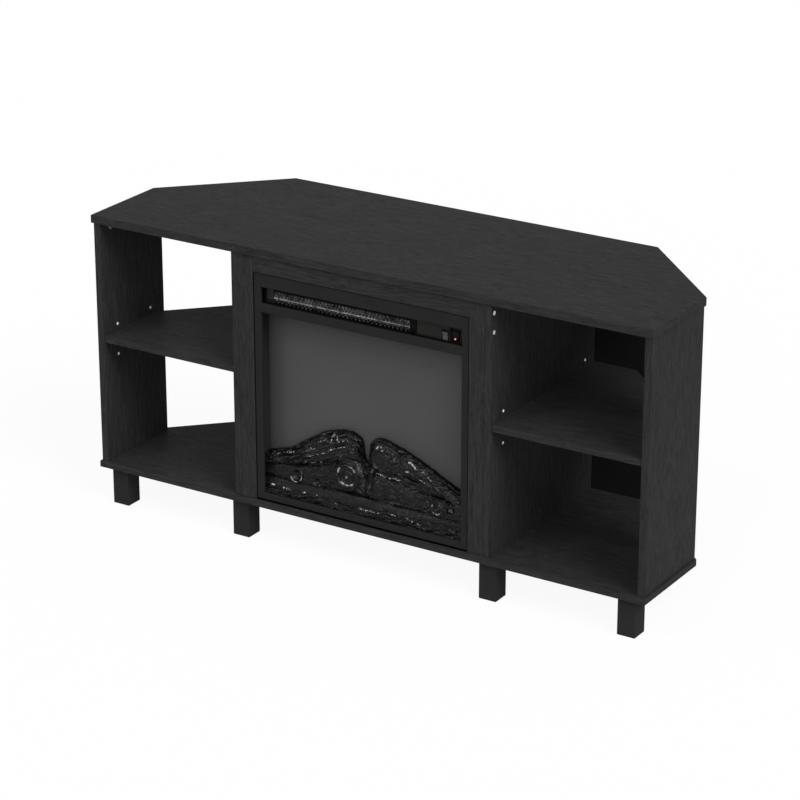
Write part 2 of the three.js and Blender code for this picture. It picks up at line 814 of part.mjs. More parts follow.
function logGroup(upperShares, lowerShares, stubShares, x0, x1) {
  const backY = bedBack - logDepth / 2;
  const lowerY = backY - lowerLogForward;
  const stubs = stubShares.map(([along, rise, size]) => {
    const radius = size * logSpaceHeight;
    const front = lowerY - lowerLogDepth / 2;
    const x = -caseInner + along * logSpaceWidth;
    const z = bedSeat + rise * logSpaceHeight;
    return barY(radius * stubTaperShare, front - fitGap, lowerY + stubLength, x, z, roundSides, radius);
  });
  const upper = logForm(upperShares, backY, logDepth);
  const lower = logForm(lowerShares, lowerY, lowerLogDepth);
  const lipTop = caseFloor + bedLipHeight * (1 + bedRiseShare / 2) + bedRippleHeight;
  const lipBack = bedFront + bedLipDepth;
  const aboveLip = block(x0, x1, bedFront, bedBack, lipTop + fitGap, windowTop);
  const behindLip = block(x0, x1, lipBack + fitGap, bedBack, bedSeat + fitGap, windowTop);
  return keepInside(join(upper, lower, ...stubs), join(aboveLip, behindLip));
}

function leftLog() {
  const half = caseInner - fitGap;
  return logGroup(leftLogShares, leftLowerShares, leftStubShares, -half, -logMiddleGap / 2);
}

function rightLog() {
  const half = caseInner - fitGap;
  return logGroup(rightLogShares, rightLowerShares, rightStubShares, logMiddleGap / 2, half);
}

const controlX1 = windowHalf - receiverBayWidth;
const controlX0 = controlX1 - controlWidth;
const controlFront = bezelBack + controlSetback;

const heaterX0 = -windowHalf + heaterLeft;
const heaterX1 = controlX0 - heaterBlockWidth - 2 * fitGap;
const heaterY0 = bezelBack + heaterFrontSetback;
const heaterY1 = heaterY0 + heaterDepth;

// A folded fin strip that zigzags between two rails
function finStrip(z0, z1) {
  const folds = Math.max(1, Math.round((heaterX1 - heaterX0) / heaterFinPitch));
  const x0 = heaterX0 + heaterFinThickness;
  const x1 = heaterX1 - heaterFinThickness;
  const steepness = Math.hypot(1, (z1 - z0) * folds * 2 / (x1 - x0));
  const half = heaterFinThickness * steepness / 2;
  const upper = [];
  const lower = [];
  for (let index = 0; index <= folds * 2; index += 1) {
    const x = THREE.MathUtils.lerp(x0, x1, index / (folds * 2));
    const z = index % 2 === 0 ? z0 : z1;
    upper.push([x, z + half]);
    lower.push([x, z - half]);
  }
  const strip = outline([...lower, ...upper.reverse()]);
  const geometry = new THREE.ExtrudeGeometry(strip, { depth: heaterDepth, bevelEnabled: false });
  geometry.rotateX(Math.PI / 2).translate(0, heaterY1, 0);
  return keepInside(geometry, block(heaterX0, heaterX1, heaterY0, heaterY1, z0, z1));
}

function heaterCore() {
  const low = heaterDeck + heaterLowRailRise;
  const middle = low + heaterLowPitch;
  const high = middle + heaterHighPitch;
  const half = heaterRailHeight / 2;
  const rail = (z) => block(heaterX0, heaterX1, heaterY0, heaterY1, z - half, z + half);
  return join(rail(low), rail(middle), rail(high), finStrip(low, middle), finStrip(middle, high));
}

function heaterEndBlock(side) {
  const face = side > 0 ? heaterX1 + fitGap : heaterX0 - fitGap;
  const length = heaterBlockWidth;
  return blockFrom(face, length, side, heaterY0 - fitGap, heaterY1 + fitGap, heaterDeck, caseCeiling);
}

// A guard of slats and ribs in front of the heater
function outletGrille() {
  const x0 = heaterX0 - heaterBlockWidth;
  const x1 = controlX0 - fitGap;
  const z0 = heaterDeck + fitGap;
  const z1 = slotTop + grilleRim;
  const y0 = bezelBack + grilleSetback;
  const y1 = y0 + grilleDepth;
  const rim = grilleRim;
  const inside = block(x0 + rim, x1 - rim, y0 - overrun, y1 + overrun, z0 + rim, z1 - rim);
  const frame = cut(block(x0, x1, y0, y1, z0, z1), inside);
  const slats = [];
  for (const rise of grilleSlatRises) {
    const slat = new THREE.BoxGeometry(x1 - x0 - rim, grilleSlatDepth, grilleSlatThickness);
    slat.rotateX(degrees(grilleSlatTilt));
    slats.push(slat.translate((x0 + x1) / 2, y0 + grilleSlatDepth / 2, heaterDeck + rise));
  }
  const ribs = [];
  const half = grilleRibWidth / 2;
  for (let index = 1; index <= grilleRibs; index += 1) {
    const x = THREE.MathUtils.lerp(x0, x1, index / (grilleRibs + 1));
    ribs.push(block(x - half, x + half, y1 - grilleDepth / 2, y1, z0 + rim / 2, z1 - rim / 2));
  }
  const depth = block(x0, x1, y0, y0 + grilleSlatDepth, z0, z1);
  return keepInside(join(frame, ...slats, ...ribs), depth);
}

const blowerZ = caseCeiling - fitGap - housingSheet - housingRadius;
const blowerY = heaterY1 + fitGap + housingRadius + housingSheet + housingTongueLength / 2;
const housingX0 = heaterX0;
const blowerMotorX0 = heaterX1 - blowerMotorSetback;
const housingX1 = blowerMotorX0 - fitGap;
const wheelX0 = housingX0 + housingSheet + wheelEndGap;
const wheelX1 = housingX1 - housingSheet - wheelEndGap;

// The scroll: a top plate that curls down behind the wheel, a floor tongue and
// two end plates with the bearing holes
function blowerHousing() {
  const inner = housingRadius;
  const outer = housingRadius + housingSheet;
  const front = heaterY1 + fitGap;
  const scroll = new THREE.Shape();
  scroll.moveTo(front, blowerZ + inner);
  scroll.lineTo(blowerY, blowerZ + inner);
  scroll.absarc(blowerY, blowerZ, inner, Math.PI / 2, Math.PI / 2 - degrees(housingSweep), true);
  scroll.absarc(blowerY, blowerZ, outer, Math.PI / 2 - degrees(housingSweep), Math.PI / 2, false);
  scroll.lineTo(front, blowerZ + outer);
  const curl = new THREE.ExtrudeGeometry(scroll, {
    depth: housingX1 - housingX0,
    bevelEnabled: false,
    curveSegments: roundSides,
  });
  curl.rotateY(Math.PI / 2).rotateX(Math.PI / 2).translate(housingX0, 0, 0);
  const floor = heaterDeck + fitGap;
  const tongueBack = front + housingTongueLength;
  const tongue = block(housingX0, housingX1, front, tongueBack, floor, floor + housingSheet);
  const plate = (x) => {
    const sheet = block(x, x + housingSheet, front, blowerY + outer, floor, blowerZ + outer);
    return cut(sheet, barX(blowerShaftRadius + fitGap, x - overrun, x + overrun, blowerY, blowerZ));
  };
  return join(curl, tongue, plate(housingX0), plate(housingX1 - housingSheet));
}

function bladeShape() {
  const inner = wheelRadius - wheelBladeDepth;
  const lean = degrees(wheelBladeLean);
  const half = wheelBladeThickness / 2;
  const tip = [Math.cos(lean) * wheelBladeDepth, Math.sin(lean) * wheelBladeDepth];
  const across = [-Math.sin(lean) * half, Math.cos(lean) * half];
  return outline([
    [inner + across[0], across[1]],
    [inner - across[0], -across[1]],
    [inner + tip[0] - across[0], tip[1] - across[1]],
    [inner + tip[0] + across[0], tip[1] + across[1]],
  ]);
}

function blowerWheel() {
  const blades = [];
  const length = wheelX1 - wheelX0;
  for (let index = 0; index < wheelBlades; index += 1) {
    const blade = new THREE.ExtrudeGeometry(bladeShape(), { depth: length, bevelEnabled: false });
    blade.rotateZ(fullTurn * index / wheelBlades).rotateY(Math.PI / 2).rotateX(Math.PI / 2);
    blades.push(blade.translate(wheelX0, blowerY, blowerZ));
  }
  const disc = (x) => barX(wheelRadius, x, x + wheelDiscThickness, blowerY, blowerZ);
  const middle = (wheelX0 + wheelX1 - wheelDiscThickness) / 2;
  const shaftX0 = housingX0 - housingSheet;
  const shaftX1 = blowerMotorX0 + shaftEngagement;
  const shaft = barX(blowerShaftRadius, shaftX0, shaftX1, blowerY, blowerZ, smallSides);
  return join(disc(wheelX0), disc(middle), disc(wheelX1 - wheelDiscThickness), shaft, ...blades);
}

function blowerMotor() {
  const x0 = blowerMotorX0;
  const x1 = x0 + blowerMotorLength;
  const can = barX(blowerMotorRadius, x0, x1, blowerY, blowerZ);
  const half = motorFootWidth / 2;
  const inset = housingSheet;
  const foot = block(x0 + inset, x1 - inset, blowerY - half, blowerY + half, heaterDeck, blowerZ);
  const boreRadius = blowerShaftRadius + fitGap;
  const boreEnd = x0 + shaftEngagement + fitGap;
  return cut(join(can, foot), barX(boreRadius, x0 - overrun, boreEnd, blowerY, blowerZ, smallSides));
}

const flameMotorX1 = caseInner - fitGap;
const flameMotorX0 = flameMotorX1 - flameMotorLength;

// Foil paddles turn on the spindle and throw moving light on the screen
function flameSpindle() {
  const x0 = -caseHalf + spindleEndInset;
  const shaft = barX(spindleRadius, x0, flameMotorX0 + shaftEngagement, spindleY, spindleZ, smallSides);
  const halfWidth = paddleWidth / 2;
  const first = -caseInner + paddleEndRoom + halfWidth;
  const last = flameMotorX0 - paddleEndRoom - halfWidth;
  const halfThickness = paddleThickness / 2;
  const paddles = [];
  for (let station = 0; station < paddleStations; station += 1) {
    const x = THREE.MathUtils.lerp(first, last, station / (paddleStations - 1));
    for (let index = 0; index < paddlesPerStation; index += 1) {
      const paddle = block(-halfWidth, halfWidth, -halfThickness, halfThickness, 0, paddleReach);
      paddle.rotateX(degrees(station * paddleTurn) + fullTurn * index / paddlesPerStation);
      paddles.push(paddle.translate(x, spindleY, spindleZ));
    }
  }
  return join(shaft, ...paddles);
}

function flameMotor() {
  const can = barX(flameMotorRadius, flameMotorX0, flameMotorX1, spindleY, spindleZ);
  const boreRadius = spindleRadius + fitGap;
  const boreEnd = flameMotorX0 + shaftEngagement + fitGap;
  return cut(can, barX(boreRadius, flameMotorX0 - overrun, boreEnd, spindleY, spindleZ, smallSides));
}

function lampStrip() {
  const half = caseInner - lampStripEndRoom;
  const y0 = bezelBack + lampStripSetback;
  const top = caseFloor + lampStripThickness;
  const board = block(-half, half, y0, y0 + lampStripDepth, caseFloor, top);
  const lamps = [];
  const y = y0 + lampStripDepth / 2;
  for (let index = 0; index < lampCount; index += 1) {
    const x = THREE.MathUtils.lerp(-half, half, (index + 1) / (lampCount + 1));
    lamps.push(barZ(lampRadius, top - lampStripThickness / 2, top + lampRadius, x, y, smallSides));
  }
  return join(board, ...lamps);
}

const rockerX = controlX1 - rockerFromRight;
const rockerZ = slotTop - rockerDrop;
const rockerPivotY = controlFront - rockerRimDepth + rockerDepth;
const rockerHalfWidth = rockerWidth / 2;
const housingInnerHalf = rockerHalfWidth + fitGap;
const housingEndHalf = rockerHalfLength + rockerEndRoom;

// The folded sheet that carries the switch and, set back, the receiver
function controlPlate() {
  const y0 = controlFront;
  const y1 = y0 + controlSheet;
  const back = y1 + receiverRecess;
  const sheet = (x0, x1, near, far) => block(x0, x1, near, far, heaterDeck, caseCeiling);
  const plate = sheet(controlX0, controlX1, y0, y1);
  const flange = sheet(controlX0, controlX0 + controlSheet, y0, y0 + controlReturn);
  const step = sheet(controlX1 - controlSheet, controlX1, y0, back);
  const recessed = sheet(controlX1 - controlSheet, caseInner - fitGap, back - controlSheet, back);
  const halfX = housingInnerHalf + rockerWall + fitGap;
  const halfZ = housingEndHalf + rockerWall + fitGap;
  const hole = block(
    rockerX - halfX, rockerX + halfX, y0 - overrun, y1 + overrun, rockerZ - halfZ, rockerZ + halfZ,
  );
  return cut(join(plate, flange, step, recessed), hole);
}

function rockerHousing() {
  const bodyX = housingInnerHalf + rockerWall;
  const bodyZ = housingEndHalf + rockerWall;
  const rimX = bodyX + fitGap + rockerRimOverlap;
  const rimZ = bodyZ + fitGap + rockerRimOverlap;
  const front = controlFront - rockerRimDepth;
  const back = controlFront + rockerHousingDepth;
  const layer = (halfX, halfZ, y0, y1) => (
    block(rockerX - halfX, rockerX + halfX, y0, y1, rockerZ - halfZ, rockerZ + halfZ)
  );
  const body = layer(bodyX, bodyZ, front, back);
  const rim = layer(rimX, rimZ, front, controlFront);
  const well = layer(housingInnerHalf, housingEndHalf, front - overrun, back - rockerWall);
  const reach = bodyX + overrun;
  const pivotRadius = rockerPinRadius + fitGap;
  const pivot = barX(pivotRadius, rockerX - reach, rockerX + reach, rockerPivotY, rockerZ, smallSides);
  return cut(join(body, rim), well, pivot);
}

// The rocker is drawn level, then tilted to its off position
function powerRocker() {
  const rise = rockerHalfLength * Math.tan(degrees(rockerTilt));
  const face = rockerDepth;
  const profile = outline([
    [rockerBack, -rockerHalfLength * rockerBackShare],
    [rockerBack, rockerHalfLength * rockerBackShare],
    [-face - rise, rockerHalfLength],
    [-face, 0],
    [-face - rise, -rockerHalfLength],
  ]);
  const cap = new THREE.ExtrudeGeometry(profile, { depth: rockerWidth, bevelEnabled: false });
  cap.rotateY(Math.PI / 2).rotateX(Math.PI / 2).translate(-rockerHalfWidth, 0, 0);
  const pinHalf = rockerHalfWidth + rockerPinLength;
  const pin = barX(rockerPinRadius, -pinHalf, pinHalf, 0, 0, smallSides);
  return join(cap, pin).rotateX(degrees(rockerTilt));
}

const receiverX = controlX1 + receiverFromControl;
const receiverZ = slotTop - receiverDrop;
const receiverBack = controlFront + receiverRecess;
const ledZ = receiverZ - receiverHeight / 2 + ledRise;

function receiverLens() {
  const front = receiverBack - receiverDepth;
  const halfX = receiverWidth / 2;
  const halfZ = receiverHeight / 2;
  const body = uprightFacingFront(
    receiverX - halfX, receiverX + halfX, receiverZ - halfZ, receiverZ + halfZ, front, receiverDepth,
  );
  const radius = ledRadius + fitGap;
  return cut(body, barY(radius, front - overrun, receiverBack + overrun, receiverX, ledZ, smallSides));
}

function ledLens() {
  const shoulder = ledShoulderShare;
  const profile = [
    [0, 0],
    [ledRadius, 0],
    [ledRadius, receiverDepth],
    [ledRadius * shoulder, receiverDepth + ledStandOut * shoulder],
    [0, receiverDepth + ledStandOut],
  ];
  const lens = new THREE.LatheGeometry(profile.map(([r, h]) => new THREE.Vector2(r, h)), smallSides);
  return lens.rotateX(Math.PI).translate(receiverX, receiverBack, ledZ);
}

// An angle clip between the side of the case and the back of a stile
function insertClip(side) {
  const z0 = floorOfBays + clipRise;
  const z1 = z0 + clipHeight;
  const face = side * caseHalf;
  const along = blockFrom(face, clipSheet, side, frameBack, frameBack + clipLength, z0, z1);
  const across = blockFrom(face, clipSheet + clipReach, side, frameBack, frameBack + clipSheet, z0, z1);
  return join(along, across);
}

const fireplaceStand = new THREE.Group();
fireplaceStand.name = "fireplace_tv_stand";

function add(name, geometry, finish, place = [0, 0, 0], parent = fireplaceStand) {
  geometry.computeVertexNormals();
  const mesh = new THREE.Mesh(geometry, new THREE.MeshStandardMaterial(finish));
  mesh.name = name;
  mesh.position.set(...place);
  parent.add(mesh);
}

const sides = [["left", -1], ["right", 1]];

add("top_panel", topPanel(), blackWood);
add("bottom_panel", bottomPanel(), blackWood);
add("back_panel", backPanel(), blackWood);
add("frame_top_rail", frameTopRail(), blackWood);
add("rear_stretcher", rearStretcher(), blackWood);
for (const [name, side] of sides) {
  add(`${name}_side_panel`, sidePanel(side), blackWood);
  add(`${name}_divider`, divider(side), blackWood);
  add(`${name}_frame_stile`, frameStile(side), blackWood);
  add(`${name}_shelf`, shelf(side), blackWood);
  for (const [place, y] of camPlaces) {
    add(`${name}_${place}_cam_lock`, camLock(side, y), zincSteel);
  }
  for (const [index, z] of frameScrewHeights.entries()) {
    add(`${name}_frame_screw_${index + 1}`, frameScrew(side, z), zincSteel);
  }
  const pins = [
    ["outer_front", side * sideInner, side, pinFrontY],
    ["outer_rear", side * sideInner, side, sidePinRearY],
    ["inner_front", side * dividerOuter, -side, pinFrontY],
    ["inner_rear", side * dividerOuter, -side, dividerPinRearY],
  ];
  for (const [place, xFace, into, y] of pins) {
    add(`${name}_shelf_pin_${place}`, shelfPin(xFace, into, y), zincSteel);
  }
}
for (const [name, x, y] of legPlaces) {
  add(name, leg(), legPlastic, [x, y, 0]);
}

const insert = new THREE.Group();
insert.name = "fireplace_insert";
fireplaceStand.add(insert);

function addToInsert(name, geometry, finish, place) {
  add(name, geometry, finish, place, insert);
}

addToInsert("insert_bezel", insertBezel(), bezelPaint);
addToInsert("insert_case", insertCase(), blackSteel);
addToInsert("insert_back_cover", insertBackCover(), zincSteel);
addToInsert("cord_gland", cordGland(), darkPlastic);
addToInsert("flame_screen", flameScreen(), smokedScreen);
addToInsert("ember_bed", emberBed(), logResin);
addToInsert("left_log", leftLog(), logResin);
addToInsert("right_log", rightLog(), logResin);
addToInsert("outlet_grille", outletGrille(), blackSteel);
addToInsert("heater_core", heaterCore(), bareAluminium);
addToInsert("blower_housing", blowerHousing(), zincSteel);
addToInsert("blower_wheel", blowerWheel(), bareAluminium);
addToInsert("blower_motor", blowerMotor(), blackSteel);
addToInsert("flame_spindle", flameSpindle(), bareAluminium);
addToInsert("flame_motor", flameMotor(), greyPlastic);
addToInsert("lamp_strip", lampStrip(), palePlastic);
addToInsert("control_plate", controlPlate(), greyPlastic);
addToInsert("rocker_housing", rockerHousing(), darkPlastic);
addToInsert("power_rocker", powerRocker(), palePlastic, [rockerX, rockerPivotY, rockerZ]);
addToInsert("receiver_lens", receiverLens(), darkPlastic);
addToInsert("led_lens", ledLens(), redLens);
for (const [name, side] of sides) {
  addToInsert(`heater_${name}_block`, heaterEndBlock(side), greyPlastic);
  addToInsert(`${name}_insert_clip`, insertClip(side), zincSteel);
}

export default fireplaceStand;
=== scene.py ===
"""Looks of the corner fireplace TV stand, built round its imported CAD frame.

Metres. +X is to the right, the front faces -Y and +Z is up. What lines up with a CAD
piece takes its place from that piece's box in the frame.
"""

import math

import bpy
from mathutils import Matrix, Vector, noise


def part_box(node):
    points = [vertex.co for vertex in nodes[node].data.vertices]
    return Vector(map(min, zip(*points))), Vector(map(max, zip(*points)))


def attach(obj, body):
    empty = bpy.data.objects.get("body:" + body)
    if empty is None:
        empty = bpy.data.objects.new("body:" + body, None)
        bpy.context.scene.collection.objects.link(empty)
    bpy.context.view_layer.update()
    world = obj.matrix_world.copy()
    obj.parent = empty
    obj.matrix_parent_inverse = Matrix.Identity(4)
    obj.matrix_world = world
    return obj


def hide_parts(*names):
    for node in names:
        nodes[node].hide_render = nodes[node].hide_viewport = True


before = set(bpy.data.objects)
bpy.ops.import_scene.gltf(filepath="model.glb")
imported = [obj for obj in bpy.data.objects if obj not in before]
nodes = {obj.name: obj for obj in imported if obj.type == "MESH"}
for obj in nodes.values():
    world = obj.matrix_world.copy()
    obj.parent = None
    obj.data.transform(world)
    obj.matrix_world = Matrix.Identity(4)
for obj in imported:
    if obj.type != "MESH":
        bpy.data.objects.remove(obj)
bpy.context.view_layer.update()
# Noise vectors take their offsets from this seed, and would else change from run to run
NOISE_SEED = 1
noise.seed_set(NOISE_SEED)
X, Y, Z = range(3)
WHITE = (1.0, 1.0, 1.0, 1.0)

# Camera: found by fitting the corners of the boards to the photograph
CAMERA_AZIMUTH = math.radians(32.0)
CAMERA_ELEVATION = math.radians(21.5)
CAMERA_TARGET = Vector((-0.0337, 0.0, 0.2661))
CAMERA_DISTANCE = 5.76
CAMERA_LENS = 136.85
CAMERA_NEAR = 0.05
CAMERA_FAR = 400.0

# Lamps: direction towards the lamp, strength and apparent width
SIDE_SUN = ((0.68, -0.28, 0.68), 2.62, math.radians(28))
FRONT_SUN = ((0.3, -0.8, 0.5), 1.47, math.radians(40))
SPARK_SUN = ((-0.3, -0.55, 0.78), 0.4, math.radians(4))
SKY_LEVEL = 0.31

# Floor
FLOOR_HALF = 60.0
FLOOR_COLOUR = (0.8, 0.79, 0.77, 1.0)
FLOOR_DIP = 0.99
FLOOR_GLOW = 0.93


class Shader:
    """A small helper that adds and links the nodes of one material, or of the world."""

    def __init__(self, name, library=None, output="OutputMaterial"):
        if library is None:
            library = bpy.data.materials
        self.owner = library.new(name)
        self.owner.use_nodes = True
        self.tree = self.owner.node_tree
        self.tree.nodes.clear()
        self.output = self.add(output)

    def add(self, kind, settings=None, **inputs):
        node = self.tree.nodes.new("ShaderNode" + kind)
        for key, value in (settings or {}).items():
            setattr(node, key, value)
        for key, value in inputs.items():
            self.feed(node, key, value)
        return node

    def feed(self, node, key, value):
        """Set or link one input, found by its name without spaces or, as i0, by its number."""
        names = {socket.name.replace(" ", ""): socket for socket in node.inputs}
        socket = node.inputs[int(key[1:])] if key[0] == "i" and key[1:].isdigit() else names[key]
        if isinstance(value, bpy.types.NodeSocket):
            self.tree.links.new(value, socket)
        else:
            socket.default_value = value

    def calc(self, operation, a, b=0.0, c=0.0):
        return self.add("Math", {"operation": operation}, i0=a, i1=b, i2=c).outputs[0]

    def calc_vector(self, operation, a, b, c=(0.0, 0.0, 0.0)):
        return self.add("VectorMath", {"operation": operation}, i0=a, i1=b, i2=c).outputs[0]

    def mix(self, factor, a, b, blend_type="MIX"):
        node = self.add("Mix", {"data_type": "RGBA", "blend_type": blend_type}, i0=factor, i6=a, i7=b)
        return node.outputs[2]

    def ramp(self, factor, stops):
        node = self.add("ValToRGB", Fac=factor)
        elements = node.color_ramp.elements
        while len(elements) > 1:
            elements.remove(elements[-1])
        elements[0].position = stops[0][0]
        elements[0].color = grey(stops[0][1])
        for place, level in stops[1:]:
            elements.new(place).color = grey(level)
        return node.outputs[0]

    def noise(self, vector, scale, detail=2.0, roughness=0.5, distortion=0.0):
        node = self.add("TexNoise", Vector=vector, Scale=scale, Detail=detail,
                        Roughness=roughness, Distortion=distortion)
        return node.outputs[0]

    def split(self, vector, axis):
        return self.add("SeparateXYZ", Vector=vector).outputs[axis]

    def coordinates(self, offset=(0.0, 0.0, 0.0)):
        source = self.add("TexCoord").outputs["Object"]
        return self.add("Mapping", Vector=source, Location=offset).outputs[0]

    def streaks(self, vector, axis, along, across, **settings):
        """Noise drawn out along one axis, by its scale along and across that axis."""
        scale = [across] * 3
        scale[axis] = along
        stretched = self.add("Mapping", Vector=vector, Scale=scale).outputs[0]
        return self.noise(stretched, scale=1.0, **settings)

    def attribute(self, name):
        return self.add("Attribute", {"attribute_name": name}).outputs[2]

    def bump(self, height, strength, distance):
        return self.add("Bump", Height=height, Strength=strength, Distance=distance).outputs[0]

    def seen_directly(self):
        """One for rays from the camera, by reflection and through glass, and else nought."""
        path = self.add("LightPath").outputs
        seen = self.calc("MAXIMUM", path["Is Camera Ray"], path["Is Glossy Ray"])
        return self.calc("MAXIMUM", seen, path["Is Transmission Ray"])

    def show(self, kind, **inputs):
        self.tree.links.new(self.add(kind, **inputs).outputs[0], self.output.inputs[0])
        return self.owner

    def finish(self, colour, roughness, **inputs):
        return self.show("BsdfPrincipled", BaseColor=colour, Roughness=roughness, **inputs)


def grey(level):
    return (level, level, level, 1.0)


def shaded(colour, share):
    """The colour made darker or lighter by a share."""
    return tuple(channel * share for channel in colour[:3]) + (1.0,)


# Wood: black foil with a fine pressed grain that runs along one axis
WOOD_LEVEL = 0.0207
WOOD_SPREAD = 0.48
WOOD_ROUGHNESS = 0.55
WOOD_SPECULAR = 0.01
GRAIN_SCALES = (15.0, 270.0)
PORE_SCALES = (45.0, 800.0)
BEND_SCALE = 5.0
BEND_REACH = (0.035, 0.035, 0.035)
PORE_STOPS = [(0.4, 0.0), (0.55, 1.0)]
FIGURE_STOPS = [(0.32, 0.0), (0.68, 1.0)]
FIGURE_SHARE = 0.55
PORE_SHARE = 0.3
PATCH_SHARE = 0.15
PORE_DEPTH_SHARE = 0.6
PORE_SHINE = 0.08
SEED_STEPS = (1.7, 2.3, 3.1)


def black_wood(name, axis, seed):
    shader = Shader(name)
    plain = shader.coordinates([seed * step for step in SEED_STEPS])
    bend = shader.add("TexNoise", Vector=plain, Scale=BEND_SCALE, Detail=2.0).outputs[1]
    centred = shader.calc_vector("SUBTRACT", bend, (0.5, 0.5, 0.5))
    shifted = shader.calc_vector("MULTIPLY_ADD", centred, BEND_REACH, plain)
    grain = shader.streaks(shifted, axis, *GRAIN_SCALES, detail=3.0, roughness=0.6, distortion=0.4)
    pores = shader.streaks(shifted, axis, *PORE_SCALES, roughness=0.55)
    patches = shader.noise(plain, scale=9.0)
    pore_lines = shader.ramp(pores, PORE_STOPS)
    figure = shader.ramp(grain, FIGURE_STOPS)
    tone = shader.calc("MULTIPLY", pore_lines, PORE_SHARE)
    tone = shader.calc("MULTIPLY_ADD", figure, FIGURE_SHARE, tone)
    tone = shader.calc("MULTIPLY_ADD", patches, PATCH_SHARE, tone)
    colour = shader.mix(tone, grey(WOOD_LEVEL * (1 - WOOD_SPREAD)), grey(WOOD_LEVEL * (1 + WOOD_SPREAD)))
    flat_figure = shader.calc("MULTIPLY", figure, 1 - PORE_DEPTH_SHARE)
    height = shader.calc("MULTIPLY_ADD", pore_lines, PORE_DEPTH_SHARE, flat_figure)
    normal = shader.bump(height, strength=0.35, distance=0.00025)
    gloss = shader.calc("MULTIPLY_ADD", pore_lines, -PORE_SHINE, WOOD_ROUGHNESS)
    return shader.finish(colour, gloss, Normal=normal, SpecularIORLevel=WOOD_SPECULAR)


BOARD_MOTTLE = 0.2


def board(name, level, roughness, specular):
    """Plain faced board, with a faint mottle."""
    shader = Shader(name)
    place = shader.coordinates()
    mottle = shader.noise(place, scale=60.0, detail=4.0, roughness=0.6)
    colour = shader.mix(mottle, grey(level * (1 - BOARD_MOTTLE)), grey(level * (1 + BOARD_MOTTLE)))
    normal = shader.bump(shader.noise(place, scale=1800.0), strength=0.12, distance=0.0001)
    return shader.finish(colour, roughness, Normal=normal, SpecularIORLevel=specular)


PAINT_CLOUD = 0.14
PAINT_SHINE = 0.12
PAINT_RELIEF = 0.00012


def paint(name, colour, roughness=0.5, specular=0.03, relief=0.15, grain_scale=1400.0):
    """Powder coat or moulded plastic: fine grain and slight unevenness of gloss."""
    shader = Shader(name)
    place = shader.coordinates()
    grain = shader.noise(place, scale=grain_scale, roughness=0.6)
    cloud = shader.noise(place, scale=22.0, detail=3.0, roughness=0.55)
    tint = shader.mix(cloud, shaded(colour, 1 - PAINT_CLOUD), shaded(colour, 1 + PAINT_CLOUD))
    normal = shader.bump(grain, strength=relief, distance=PAINT_RELIEF)
    gloss = shader.calc("MULTIPLY_ADD", cloud, PAINT_SHINE, roughness - PAINT_SHINE / 2)
    return shader.finish(tint, gloss, Normal=normal, SpecularIORLevel=specular)


LINE_SCALES = (14.0, 900.0)
LINES_SHINE = 0.18
METAL_LOW_SHARE = 0.82
METAL_HIGH_SHARE = 1.1


def brushed(name, level, roughness, axis):
    """Metal with fine lines along one axis."""
    shader = Shader(name)
    place = shader.coordinates()
    lines = shader.streaks(place, axis, *LINE_SCALES, detail=3.0, roughness=0.6)
    spots = shader.noise(place, scale=90.0, detail=3.0, roughness=0.6)
    colour = shader.mix(spots, grey(level * METAL_LOW_SHARE), grey(level * METAL_HIGH_SHARE))
    gloss = shader.calc("MULTIPLY_ADD", lines, LINES_SHINE, roughness - LINES_SHINE / 2)
    normal = shader.bump(lines, strength=0.2, distance=0.0001)
    return shader.finish(colour, gloss, Normal=normal, Metallic=1.0)


ZINC_LEVELS = (0.3, 0.46)
ZINC_ROUGHNESS = (0.3, 0.2)


def galvanised(name):
    """Zinc coated sheet with its pattern of crystals."""
    shader = Shader(name)
    cells = shader.add("TexVoronoi", Vector=shader.coordinates(), Scale=130.0, Randomness=1.0)
    level = shader.add("SeparateColor", i0=cells.outputs["Color"]).outputs[0]
    colour = shader.mix(level, grey(ZINC_LEVELS[0]), grey(ZINC_LEVELS[1]))
    gloss = shader.calc("MULTIPLY_ADD", level, ZINC_ROUGHNESS[1], ZINC_ROUGHNESS[0])
    normal = shader.bump(level, strength=0.08, distance=0.0002)
    return shader.finish(colour, gloss, Normal=normal, Metallic=1.0)


TARNISH_STOPS = [(0.38, 0.0), (0.66, 1.0)]


def tarnished(name, dark, light):
    """Foil whose brightness is uneven, as hot and handled metal is."""
    shader = Shader(name)
    blotches = shader.noise(shader.coordinates(), scale=75.0, detail=5.0, roughness=0.75)
    colour = shader.mix(shader.ramp(blotches, TARNISH_STOPS), grey(dark), grey(light))
    normal = shader.bump(blotches, strength=0.2, distance=0.0003)
    return shader.finish(colour, 0.45, Normal=normal, Metallic=0.35)


# Flame screen: painted shade darkens it towards the edges of the window in the bezel, where the bezel's
# recess shades it
WINDOW_SIDE_BORDER = 0.015
WINDOW_LOW_BORDER = 0.0125
WINDOW_HIGH_BORDER = 0.0765
SCREEN_TINT = (1.0, 1.0, 1.01, 1.0)
SCREEN_LEVELS = (0.044, 0.056)
SCREEN_PAINTED_SHADE_LEVEL = 0.028
SCREEN_CLOUD_SHARE = 0.8
FADE_SLOPE = 3.2
FADE_START = 3.75
FADE_ROUNDING = 0.3

bezel_low, bezel_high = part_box("insert_bezel")
window_half = bezel_high[X] - WINDOW_SIDE_BORDER
window_low = bezel_low[Z] + WINDOW_LOW_BORDER
window_high = bezel_high[Z] - WINDOW_HIGH_BORDER


def painted_shade_fade(shader, distance):
    """Share left clear of the painted edge shade: one in the middle and falling near a distance of one.
    """
    slope = shader.calc("MULTIPLY_ADD", distance, -FADE_SLOPE, FADE_START)
    return shader.calc("SMOOTH_MIN", 1.0, slope, FADE_ROUNDING)


